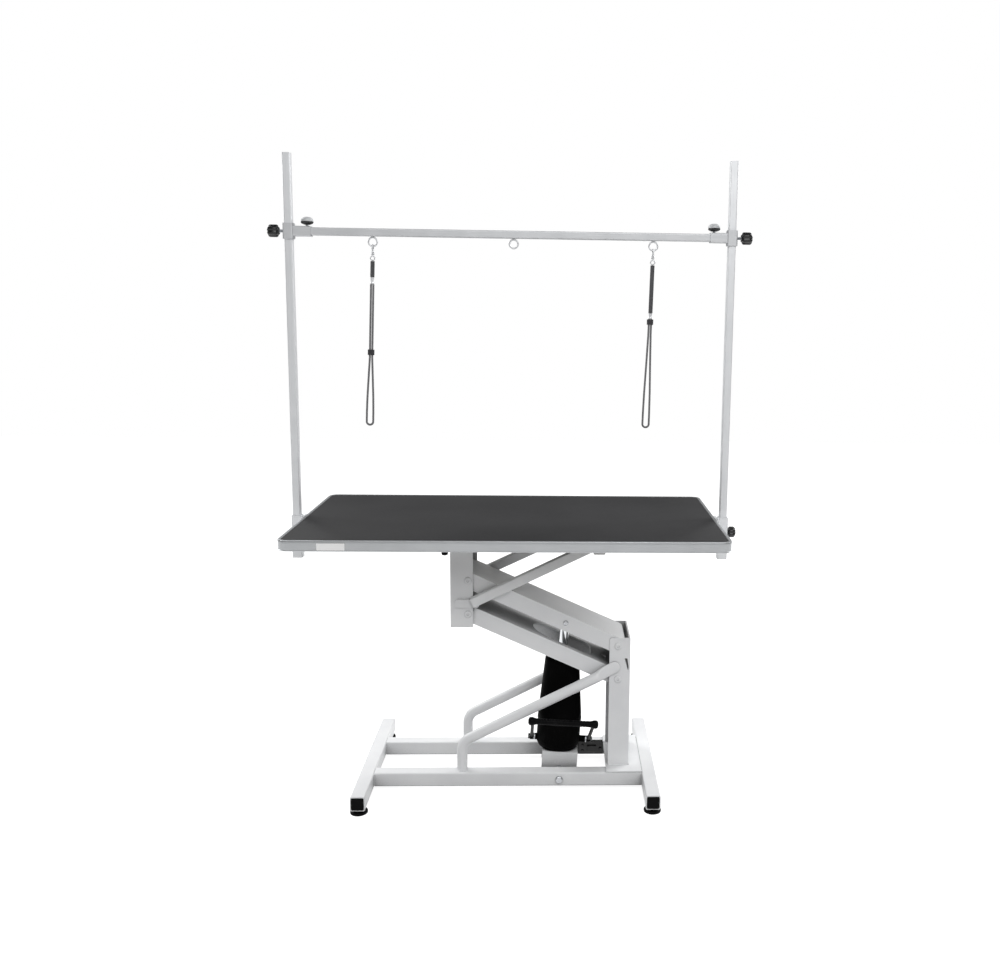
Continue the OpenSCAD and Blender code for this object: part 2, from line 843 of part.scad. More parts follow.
module hook(side) {
  lv = side < 0 ? left_levels : right_levels;
  clear = eye_wire + hook_wire + gap;
  low = clear - 2 * hook_r;
  color(steel) at_noose(side) {
    union() {
      translate([0, 0, clear - hook_r]) rotate([0, 90, 0]) torus(hook_r, hook_wire);
      translate([0, 0, low - 10]) cylinder(d = 9, h = 10);
      translate([0, 0, low - 14]) cylinder(d = 6, h = 6);
      translate([0, 0, -lv[0] + gap + 5.5 + 1.6]) rotate([90, 0, 0]) torus(5.5, 1.6);
    }
    translate([0, 0, -lv[2]]) cylinder(d = 9, h = lv[2] - lv[1]);
  }
}
module left_hook() hook(-1);
module right_hook() hook(1);

module band(side) {
  lv = side < 0 ? left_levels : right_levels;
  color([0.2, 0.2, 0.2]) at_noose(side) translate([0, 0, -lv[1]])
    linear_extrude(lv[1] - lv[0]) rsq(band_w, band_d, 1.5);
}
module left_band() band(-1);
module right_band() band(1);

// cord route: down on the left, round the bottom, up on the right
function half_w(keys, s) = lookup(s, keys);
function arc_r() = left_keys[len(left_keys) - 1][1];
function strand(keys, s0, s1, n) =
  [for (i = [0:n - 1]) let (s = s0 + (s1 - s0) * i / n) [-half_w(keys, s), -s]];
function loop_path(keys, s0) =
  let (r = arc_r(), s1 = noose_end - r, n = ceil((s1 - s0) / ring_step),
    down = strand(keys, s0, s1, n))
  concat(down, [for (i = [0:8]) [-r * cos(i * 22.5), -s1 - r * sin(i * 22.5)]],
    [for (i = [n - 1:-1:0]) [-down[i][0], down[i][1]]]);
function unit2(v) = v / norm(v);
function tangent(p, i) =
  i == 0 || i == len(p) - 1 ? [0, i == 0 ? -1 : 1] : unit2(p[i + 1] - p[i - 1]);

module cord(keys, s0) {
  p = loop_path(keys, s0);
  n = len(p);
  m = cord_sides;
  pts = [for (i = [0:n - 1]) let (t = tangent(p, i)) for (j = [0:m - 1])
    let (a = 360 * j / m, c = cord_d / 2 * cos(a), s = cord_d / 2 * sin(a))
    [p[i][0] - t[1] * c, s, p[i][1] + t[0] * c]];
  sides = [for (i = [0:n - 2]) for (j = [0:m - 1])
    let (k = (j + 1) % m) [i * m + j, i * m + k, (i + 1) * m + k, (i + 1) * m + j]];
  first = [for (j = [m - 1:-1:0]) j];
  last = [for (j = [0:m - 1]) (n - 1) * m + j];
  polyhedron(points = pts, faces = concat([first], sides, [last]), convexity = 6);
}
module left_cord() color(black) at_noose(-1) cord(left_keys, left_levels[2]);
module right_cord() color(black) at_noose(1) cord(right_keys, right_levels[2]);

module keeper(side) {
  at = side < 0 ? left_keeper_at : right_keeper_at;
  w = 2 * (left_keys[0][1] + cord_d / 2) + 0.8;
  color(black) at_noose(side) translate([0, 0, -at - keeper_h])
    linear_extrude(keeper_h) difference() {
      rsq(w + 4, cord_d + 4.8, 3);
      rsq(w, cord_d + 0.8, cord_d / 2);
    }
}
module left_keeper() keeper(-1);
module right_keeper() keeper(1);

module pump_yoke() {
  h = bucket_low - yoke_low;
  color(white) at_pump() difference() {
    union() {
      for (sy = [-1, 1]) {
        along_y(sy > 0 ? yoke_y - 5 : -yoke_y, sy > 0 ? yoke_y : -yoke_y + 5)
          translate([-yoke_w / 2, yoke_low]) square([yoke_w, h]);
      }
      translate([-yoke_w / 2, -yoke_y, bucket_low - 5]) cube([yoke_w, 2 * yoke_y, 5]);
    }
    bar_y(0, 0, -2 * yoke_y, 2 * yoke_y, axle_d + 2 * pin_fit);
  }
}

module pump_bucket() {
  r = bucket_d / 2;
  arm_in = pedal_half - 5.3;
  color(black) at_pump() difference() {
    union() {
      translate([cover_off, 0, 0]) rotate_extrude($fn = 64) polygon([
        [0, bucket_low], [r - 14, bucket_low], [r - 5, bucket_low + 4],
        [r - 1, bucket_low + 12], [r, bucket_low + 22], [r, bucket_top - 3],
        [r - 3, bucket_top], [0, bucket_top]]);
      bar_x(pedal_off - arm_in, pedal_off + arm_in, pedal_y, pedal_z, 18);
      bar_x(pedal_off - pedal_half - 7, pedal_off + pedal_half + 7, pedal_y, pedal_z, 8);
      for (sx = [-1, 1]) {
        bar_x(pedal_off + (sx > 0 ? pedal_half + 5.3 : -pedal_half - 10),
          pedal_off + (sx > 0 ? pedal_half + 10 : -pedal_half - 5.3),
          pedal_y, pedal_z, 14);
      }
    }
    translate([0, 0, cyl_low]) cylinder(d = cyl_od, h = bucket_top);
  }
}

module pump_cylinder() {
  color(steel) at_pump() translate([0, 0, cyl_low]) difference() {
    cylinder(d = cyl_od, h = cyl_top - cyl_low);
    translate([0, 0, 6]) cylinder(d = gland_d + 1, h = boot_top);
  }
}

// half section of the cover, inset from its outside, height above the bucket
module boot_half(inset) {
  r = bucket_d / 2 - inset;
  rt = boot_top_d / 2 - inset;
  top = boot_top - bucket_top - inset;
  e = boot_edge - inset;
  polygon(concat([[0, -4], [r, -4], [r, 14]],
    [for (a = [0:22.5:90]) [rt - e + e * cos(a), top - e + e * sin(a)]], [[0, top]]));
}

// cover outline inset by a wall, with flat front and back
module boot_body(inset) {
  half = boot_w / 2 - inset;
  intersection() {
    translate([cover_off, 0, bucket_top]) rotate([0, -boot_tilt, 0])
      rotate_extrude($fn = 64) boot_half(inset);
    translate([-bucket_d, -half, 0]) cube([2 * bucket_d, 2 * half, 2 * boot_top]);
  }
}

module pump_boot() {
  color(black) at_pump() difference() {
    boot_body(0);
    boot_body(boot_wall);
    cylinder(d = gland_d, h = 2 * boot_top);
    translate([-bucket_d, -bucket_d, 0]) cube([2 * bucket_d, 2 * bucket_d, bucket_top]);
  }
}

module ram_rod() {
  color(steel) translate([ram_pin[0], 0, ram_pin[1]]) rotate([0, pump_lean, 0])
    difference() {
      union() {
        bar_y(0, 0, -lug_y + gap, lug_y - gap, ram_eye_d);
        translate([0, 0, -ram_len]) cylinder(d = ram_d, h = ram_len);
      }
      bar_y(0, 0, -2 * lug_y, 2 * lug_y, pin_d + 2 * pin_fit);
    }
}

// a round bar between two points
module strut(a, b, d) {
  v = b - a;
  translate(a) rotate([0, acos(v[2] / norm(v)), atan2(v[1], v[0])])
    cylinder(d = d, h = norm(v));
}

module pedal_frame() {
  out_y = pedal_y - tread_out;
  out_z = pedal_z + tread_up;
  color(black) at_pump() difference() {
    union() {
      for (sx = [-1, 1]) {
        hub = pedal_off + sx * pedal_half;
        end = tread_off + sx * (tread_len / 2 - 12);
        bar_x(hub - 5, hub + 5, pedal_y, pedal_z, 18);
        strut([hub, pedal_y, pedal_z], [end, out_y, out_z], 9);
      }
      bar_x(tread_off - tread_len / 2 + 3, tread_off + tread_len / 2 - 3,
        out_y, out_z, 10);
    }
    bar_x(-tread_len, tread_len, pedal_y, pedal_z, 8 + 2 * pin_fit);
  }
}

module pedal_tread() {
  half = tread_len / 2;
  out_y = pedal_y - tread_out;
  out_z = pedal_z + tread_up;
  r = tread_d / 2;
  color(black) at_pump() translate([tread_off - half, out_y, out_z]) difference() {
    rotate([0, 90, 0]) rotate_extrude() polygon([[0, 0], [r - 3, 0], [r + 1, 3],
      [r + 2, 8], [r + 1, 14], [r - 1, 22], [r - 1, tread_len - 22],
      [r + 1, tread_len - 14], [r + 2, tread_len - 8], [r + 1, tread_len - 3],
      [r - 3, tread_len], [0, tread_len]]);
    translate([3, 0, 0]) rotate([0, 90, 0]) cylinder(d = 10 + 2 * pin_fit, h = tread_len - 6);
    for (sx = [-1, 1]) {
      translate([half + sx * (half - 12), 0, 0]) rotate([sx, 0, 0])
        strut([0, 0, 0], [0, tread_out, -tread_up], 11);
    }
  }
}

module under_knob() {
  color(black) translate([-150, -table_dep / 2 + 22, under_z - 12]) union() {
    cylinder(d1 = 12, d2 = 16, h = 4);
    translate([0, 0, 4]) cylinder(d = 16, h = 4);
    translate([0, 0, 8]) cylinder(d = 8, h = 4);
  }
}

left_cross_tube();
right_cross_tube();
front_rail();
rear_rail();
cross_tube_caps();
column_plate();
column();
front_stay();
rear_stay();
pump_axle();
valve_block();
foot_front_left();
foot_front_right();
foot_rear_left();
foot_rear_right();
upper_arm();
arm_pins();
ram_pin();
lower_arm();
lower_arm_axles();
table_bracket();
front_table_stay();
rear_table_stay();
under_frame_long();
under_frame_cross();
table_board();
rubber_mat();
edge_trim();
trim_corners();
left_sleeve();
right_sleeve();
under_knob();
left_sleeve_knob();
right_sleeve_knob();
left_collar_knob();
right_collar_knob();
left_bar_knob();
right_bar_knob();
left_post();
right_post();
post_plugs();
crossbar();
left_collar();
right_collar();
eye_rings();
left_hook();
left_band();
left_cord();
left_keeper();
right_hook();
right_band();
right_cord();
right_keeper();
pump_yoke();
pump_bucket();
pump_boot();
pump_cylinder();
ram_rod();
pedal_frame();
pedal_tread();
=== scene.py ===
import logging
import math
from dataclasses import dataclass, field
from enum import Enum
from typing import Callable, Sequence

import bmesh
import bpy
from mathutils import Matrix, Vector


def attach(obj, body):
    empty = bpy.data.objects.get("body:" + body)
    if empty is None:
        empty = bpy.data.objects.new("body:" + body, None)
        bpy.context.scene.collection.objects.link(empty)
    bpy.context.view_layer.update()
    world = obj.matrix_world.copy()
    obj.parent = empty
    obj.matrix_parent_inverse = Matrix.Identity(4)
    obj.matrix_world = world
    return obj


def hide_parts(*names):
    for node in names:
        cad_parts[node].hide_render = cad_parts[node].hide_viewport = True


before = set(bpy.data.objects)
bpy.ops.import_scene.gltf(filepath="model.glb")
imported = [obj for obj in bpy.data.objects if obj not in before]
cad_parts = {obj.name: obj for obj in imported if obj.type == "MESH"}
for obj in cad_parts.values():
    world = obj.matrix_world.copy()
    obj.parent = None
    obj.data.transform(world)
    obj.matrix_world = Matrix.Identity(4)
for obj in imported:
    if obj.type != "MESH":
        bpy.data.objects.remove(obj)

log = logging.getLogger("grooming_table")

MM = 0.001
IMAGE_W, IMAGE_H = 1000, 963
SENSOR_MM = 36.0
Point = Sequence[float]
Outline = Sequence[tuple[float, float]]
Section = Callable[[int], Outline]
Shape = Callable[[float, float, float], float]
RIGHT, BACK, UP = Vector((1, 0, 0)), Vector((0, 1, 0)), Vector((0, 0, 1))
# The wave texture counts its bands in radians.
WAVE_TURN = 6.283

# Places of the CAD's moving frames, in millimetres and degrees, at rest.
REST_ANGLE = 24.2
ARM_LENGTH = 440.0
COLUMN_PIVOT_X = 289.0
UPPER_PIVOT_Z = 391.5
LOWER_PIVOT_Z = 299.5
PUMP_PIVOT = (133.0, 32.5)
PUMP_LEAN = 3.4
RAM_PIN_AT = 155.0
CHEEK_Y = 77.0
TOP_Z = 730.966
BAR_Z = 1473.97
HANG_Z = BAR_Z - 34.75
EYE_PITCH = 363.0
EYE_SHIFT = 4.0
EYE_WIRE_R = 2.25

# Points closer than this many millimetres become one.
MERGE_MM = 1e-4
# Corners sharper than this many degrees get a rounding.
SHARP_DEG = 40


class Axis(Enum):
    """The direction that a surface was drawn or brushed in."""

    X = (4.0, 260.0, 260.0)
    Z = (260.0, 260.0, 4.0)


class Side(Enum):
    """Left or right half of the overhead frame."""

    LEFT = -1
    RIGHT = 1

    @property
    def word(self) -> str:
        """The side's name as the CAD nodes write it."""
        return self.name.lower()


def linear(hex_code: str) -> tuple[float, float, float, float]:
    """Turns an sRGB hex colour to the linear colour that shaders take.

    Args:
        hex_code: six hex digits.

    Returns:
        Red, green and blue, linear, and a full alpha.
    """
    parts = [int(hex_code[i:i + 2], 16) / 255 for i in (0, 2, 4)]
    red, green, blue = (c / 12.92 if c <= 0.04045 else ((c + 0.055) / 1.055) ** 2.4
                        for c in parts)
    return red, green, blue, 1.0


def add_node(tree: bpy.types.NodeTree, kind: str, settings: dict | None = None,
             links: dict | None = None) -> bpy.types.Node:
    """Adds a node with its settings and its links.

    Args:
        tree: the node tree.
        kind: Blender's node type, without its leading ShaderNode.
        settings: attribute or input (name or number) to value.
        links: input (name or number) to the output socket that feeds it.

    Returns:
        The new node.
    """
    node = tree.nodes.new(f"ShaderNode{kind}")
    for key, value in (settings or {}).items():
        if isinstance(key, str) and hasattr(node, key):
            setattr(node, key, value)
        else:
            node.inputs[key].default_value = value
    for key, source in (links or {}).items():
        tree.links.new(source, node.inputs[key])
    return node


def leaning(x: float, z: float, degrees: float) -> Matrix:
    """A frame at a place in the table's middle plane, turned about Y."""
    return Matrix.Translation((x, 0, z)) @ Matrix.Rotation(math.radians(degrees), 4, "Y")


def upper_arm_frame() -> Matrix:
    """Frame of the upper arm at rest, origin on its column pivot, arm along -X."""
    return leaning(COLUMN_PIVOT_X, UPPER_PIVOT_Z, REST_ANGLE)


def lower_arm_frame() -> Matrix:
    """Frame of the lower arm at rest, origin on its column pivot, arm along -X."""
    return leaning(COLUMN_PIVOT_X, LOWER_PIVOT_Z, REST_ANGLE)


def pump_frame() -> Matrix:
    """Frame of the leaning pump at rest, origin on its pivot."""
    return leaning(*PUMP_PIVOT, PUMP_LEAN)


class Paint:
    """A material's nodes under construction, mapped in the object's own metres."""

    def __init__(self, name: str) -> None:
        """Starts a material with its principled shader."""
        self.material = bpy.data.materials.new(name)
        self.material.use_nodes = True
        self.tree = self.material.node_tree
        self.shader = next(n for n in self.tree.nodes if n.type == "BSDF_PRINCIPLED")
        self.place = self.add("TexCoord", "Object")

    def add(self, kind: str, out: str, settings: dict | None = None,
            links: dict | None = None) -> bpy.types.NodeSocket:
        """Adds a node and returns the named output socket."""
        return add_node(self.tree, kind, settings, links).outputs[out]

    def noise(self, scale: float, detail: float, place: bpy.types.NodeSocket | None = None,
              distortion: float = 0.0) -> bpy.types.NodeSocket:
        """Soft clouds, repeating about so many times a metre."""
        return self.add("TexNoise", "Fac", {"Scale": scale, "Detail": detail,
                                            "Distortion": distortion},
                        {"Vector": place or self.place})

    def cells(self, size_mm: float, feature: str = "F1") -> bpy.types.NodeSocket:
        """Pebbles or pits of a real size."""
        return self.add("TexVoronoi", "Distance", {"feature": feature, "Scale": 1000 / size_mm},
                        {"Vector": self.place})

    def stretch(self, scale: Point) -> bpy.types.NodeSocket:
        """The place, stretched along one axis for drawn or grown grain."""
        return self.add("Mapping", "Vector", {"Scale": scale}, {"Vector": self.place})

    def spread(self, source: bpy.types.NodeSocket, low: float,
               high: float) -> bpy.types.NodeSocket:
        """Maps a 0 to 1 value to a range."""
        return self.add("MapRange", "Result", {"To Min": low, "To Max": high}, {"Value": source})

    def blend(self, first: bpy.types.NodeSocket, share: float,
              second: bpy.types.NodeSocket) -> bpy.types.NodeSocket:
        """Adds a share of one value to the rest of another."""
        return self.add("Math", "Value", {"operation": "MULTIPLY_ADD", 1: share},
                        {0: first, 2: self.spread(second, 0.0, 1 - share)})

    def ramp(self, source: bpy.types.NodeSocket, low: str, high: str,
             span: tuple[float, float] = (0.3, 0.7)) -> bpy.types.NodeSocket:
        """Blends two colours over a value's span."""
        node = add_node(self.tree, "ValToRGB", links={"Fac": source})
        for stop, at, colour in zip(node.color_ramp.elements, span, (low, high)):
            stop.position = at
            stop.color = linear(colour)
        return node.outputs["Color"]

    def bump(self, height: bpy.types.NodeSocket, strength: float, depth_mm: float) -> None:
        """Raises the surface by a value."""
        self.feed("Normal", self.add("Bump", "Normal", {"Strength": strength,
                                                        "Distance": depth_mm * MM},
                                     {"Height": height}))

    def tone(self, source: bpy.types.NodeSocket, low: str, high: str,
             span: tuple[float, float] = (0.3, 0.7)) -> None:
        """Gives the surface two colours, blended over a value's span."""
        self.feed("Base Color", self.ramp(source, low, high, span))

    def gloss(self, source: bpy.types.NodeSocket, low: float, high: float) -> None:
        """Lets the roughness follow a value."""
        self.feed("Roughness", self.spread(source, low, high))

    def feed(self, name: str, source: bpy.types.NodeSocket) -> None:
        """Links a value to an input of the shader."""
        self.tree.links.new(source, self.shader.inputs[name])

    def fix(self, name: str, value: float) -> None:
        """Sets a constant on the shader's own socket."""
        self.shader.inputs[name].default_value = value


class Finish:
    """A real surface. Subclasses are frozen dataclasses that draw its detail with nodes."""

    name: str
    made: dict[str, bpy.types.Material] = {}

    def material(self) -> bpy.types.Material:
        """Builds the material once and returns it."""
        if self.name not in Finish.made:
            paint = Paint(self.name)
            self.draw(paint)
            Finish.made[self.name] = paint.material
        return Finish.made[self.name]

    def draw(self, paint: Paint) -> None:
        """Sets the shader and adds the nodes of the surface's detail."""
        raise NotImplementedError


@dataclass(frozen=True)
class PowderCoat(Finish):
    """White polyester powder coat: satin, with a fine orange peel that softens its highlights.

    Where pieces stand close over one another, painted shade from an ambient occlusion node greys
    it.
    """

    name: str = "powder_coat_white"
    colour: str = "EDEEEF"
    shade: str = "E4E5E7"
    rough: float = 0.38
    peel_mm: float = 2.2
    # Colour of the painted shade in recesses, and how far its occlusion reaches.
    recess: str = "303030"
    recess_mm: float = 140.0

    def draw(self, paint: Paint) -> None:
        """Orange peel as bump, a faint cloudiness of the coat, and painted shade in its recesses.
        """
        clouds = paint.noise(9.0, 3.0)
        coat = paint.ramp(clouds, self.shade, self.colour)
        # Painted shade: ambient occlusion darkens the coat in recesses and between close parts.
        openness = paint.add("AmbientOcclusion", "AO",
                             {"samples": 8, "Distance": self.recess_mm * MM})
        shade_tint = paint.ramp(openness, self.recess, "FFFFFF", (0.1, 0.55))
        paint.feed("Base Color", paint.add("VectorMath", "Vector", {"operation": "MULTIPLY"},
                                           {0: coat, 1: shade_tint}))
        paint.gloss(clouds, self.rough + 0.05, self.rough - 0.05)
        paint.bump(paint.noise(1000 / self.peel_mm, 2.0), 0.12, 0.3)
        paint.fix("IOR", 1.5)


@dataclass(frozen=True)
class DrawnMetal(Finish):
    """Drawn metal tube, lightly brushed along its length, which stretches its highlights."""

    name: str = "drawn_steel_tube"
    colour: str = "E4E5E7"
    shade: str = "D6D8DA"
    rough: float = 0.5
    grain: Axis = Axis.Z
    metallic: float = 0.6

    def draw(self, paint: Paint) -> None:
        """Long fine scratches along the tube, in tone, roughness and bump."""
        lines = paint.noise(4.0, 4.0, paint.stretch(self.grain.value))
        both = paint.blend(paint.noise(14.0, 2.0), 0.5, lines)
        paint.tone(both, self.shade, self.colour)
        paint.gloss(both, self.rough + 0.1, self.rough - 0.08)
        paint.bump(lines, 0.1, 0.2)
        paint.fix("Metallic", self.metallic)


@dataclass(frozen=True)
class PlatedSteel(Finish):
    """Plated steel, chrome or zinc: a bright mirror with faint clouds in its gloss."""

    name: str = "polished_chrome"
    colour: str = "D6D8DA"
    shade: str = "CFD1D4"
    rough: float = 0.08
    metallic: float = 1.0

    def draw(self, paint: Paint) -> None:
        """Faint clouds in colour and gloss, as handling leaves."""
        clouds = paint.noise(60.0, 3.0)
        paint.tone(clouds, self.shade, self.colour)
        paint.gloss(clouds, self.rough + 0.06, self.rough)
        paint.fix("Metallic", self.metallic)


@dataclass(frozen=True)
class MouldedPlastic(Finish):
    """Moulded black nylon: spark-eroded grain that breaks its highlights up."""

    name: str = "moulded_nylon_black"
    colour: str = "0B0B0C"
    shade: str = "070708"
    rough: float = 0.42
    grain_mm: float = 0.9
    ior: float = 1.14

    def draw(self, paint: Paint) -> None:
        """Fine pitted grain as bump, and clouds in tone and gloss."""
        clouds = paint.noise(35.0, 3.0)
        paint.tone(clouds, self.shade, self.colour)
        paint.gloss(clouds, self.rough + 0.08, self.rough - 0.06)
        paint.bump(paint.cells(self.grain_mm), 0.25, 0.2)
        paint.fix("IOR", self.ior)


@dataclass(frozen=True)
class RibbedRubber(Finish):
    """Calendered rubber mat: fine ribs along the table, with dust in the grooves."""

    name: str = "ribbed_rubber_mat"
    colour: str = "2B2B2C"
    dust: str = "383839"
    rough: float = 0.62
    # Real ribs of 1.2 mm are too fine to show, so they are drawn 3 mm apart.
    rib_mm: float = 3.0

    def draw(self, paint: Paint) -> None:
        """Ribs as bump, a matt speckle, and soft patches where the mat is worn."""
        rib = paint.add("TexWave", "Fac", {"wave_type": "BANDS", "bands_direction": "Y",
                                           "Scale": 1000 / self.rib_mm / WAVE_TURN},
                        {"Vector": paint.place})
        patches = paint.noise(3.2, 4.0)
        mixed = paint.blend(paint.noise(420.0, 2.0), 0.35, patches)
        paint.tone(mixed, self.colour, self.dust)
        paint.gloss(patches, self.rough - 0.06, self.rough + 0.12)
        paint.bump(rib, 0.35, 0.6)
        paint.fix("IOR", 1.16)


@dataclass(frozen=True)
class CoverVinyl(Finish):
    """Soft vinyl cover on the pump: leather-like pebble grain, low sheen."""

    name: str = "pebbled_vinyl_black"
    colour: str = "050505"
    shade: str = "030303"
    rough: float = 0.6
    pebble_mm: float = 2.4

    def draw(self, paint: Paint) -> None:
        """Pebble grain as bump, with dull and shinier patches."""
        clouds = paint.noise(18.0, 3.0)
        paint.tone(clouds, self.shade, self.colour)
        paint.gloss(clouds, self.rough - 0.05, self.rough + 0.1)
        paint.bump(paint.cells(self.pebble_mm, "SMOOTH_F1"), 0.3, 0.5)
        paint.fix("IOR", 1.1)


@dataclass(frozen=True)
class SealedPly(Finish):
    """Birch plywood, clear sealed: long soft grain on the table's underside."""

    name: str = "sealed_birch_ply"
    colour: str = "C2BFB9"
    shade: str = "B1AEA7"
    rough: float = 0.5

    def draw(self, paint: Paint) -> None:
        """Grain lines along the table, in tone and bump."""
        grain = paint.noise(5.0, 6.0, paint.stretch((1.2, 26.0, 26.0)), 0.6)
        paint.tone(grain, self.shade, self.colour)
        paint.bump(grain, 0.15, 0.3)
        paint.fix("Roughness", self.rough)


@dataclass(frozen=True)
class BraidedNylon(Finish):
    """Braided nylon cord or woven band: crossing strands with a soft sheen."""

    name: str = "braided_nylon"
    colour: str = "808082"
    # Colour of the painted shade between the strands.
    gap: str = "464648"
    rough: float = 0.62
    # Repeats round the cord, and along each millimetre of the map's second axis.
    around: float = 4.0
    along: float = 0.35

    def draw(self, paint: Paint) -> None:
        """Two diagonal sets of strands on the piece's own map, the higher one on top."""
        flat = paint.add("UVMap", "UV")
        sets = []
        for turn in (1.0, -1.0):
            lean = paint.add("VectorMath", "Value", {
                "operation": "DOT_PRODUCT", 1: (self.around * turn, self.along, 0.0)}, {0: flat})
            wave = paint.add("Math", "Value", {"operation": "PINGPONG", 1: 0.5}, {0: lean})
            sets.append(paint.add("Math", "Value", {"operation": "MULTIPLY", 1: 2.0}, {0: wave}))
        braid = paint.add("Math", "Value", {"operation": "MAXIMUM"}, {0: sets[0], 1: sets[1]})
        # The darker colour in the gaps between strands is painted shade.
        paint.tone(braid, self.gap, self.colour, (0.35, 0.85))
        paint.bump(braid, 0.6, 0.5)
        paint.fix("Sheen Weight", 0.3)
        paint.fix("Sheen Roughness", 0.5)
        paint.fix("Roughness", self.rough)


WHITE = PowderCoat()
POST_STEEL = DrawnMetal()
BAR_STEEL = DrawnMetal(name="drawn_steel_bar", colour="D0D1D3", shade="BFC1C3", grain=Axis.X)
TRIM = DrawnMetal(name="anodised_aluminium_edge", colour="B7B9BB", shade="ABADAF", rough=0.4,
                  grain=Axis.X, metallic=0.85)
CHROME = PlatedSteel()
ZINC = PlatedSteel(name="bright_zinc_plate", colour="B9BBBE", shade="A3A5A8", rough=0.26)
NICKEL = PlatedSteel(name="satin_nickel_plate", colour="D9DADC", shade="CDCED0", rough=0.3,
                     metallic=0.35)
# A light grey dome standing in for the lamp's reflection on the black knob: a painted highlight.
KNOB_DOME_HIGHLIGHT = PlatedSteel(name="brushed_aluminium_cap", colour="C6C8CA", shade="B8BABC", rough=0.5,
                        metallic=0.15)
BLACK = MouldedPlastic()
GLOSS_BLACK = MouldedPlastic(name="moulded_abs_gloss_black", colour="101113", shade="0A0A0B",
                             rough=0.22, ior=1.45)
SLIDER = MouldedPlastic(name="moulded_nylon_grey", colour="4C4C4E", shade="3E3E40", rough=0.5)
RUBBER = RibbedRubber()
COVER = CoverVinyl()
PLY = SealedPly()
CORD = BraidedNylon()
# The band's darker gap colour is painted shade between its strands.
BAND = BraidedNylon(name="woven_nylon_band", around=6.0, along=0.5, colour="505053", gap="202022")
LABEL = PowderCoat(name="matt_vinyl_plate_white", colour="FCFCFC", shade="F8F8F8", rough=0.55,
                   peel_mm=1.0)


def add_object(name: str, data: bpy.types.ID) -> bpy.types.Object:
    """Makes an object of its data and links it to the scene."""
    thing = bpy.data.objects.new(name, data)
    bpy.context.scene.collection.objects.link(thing)
    return thing


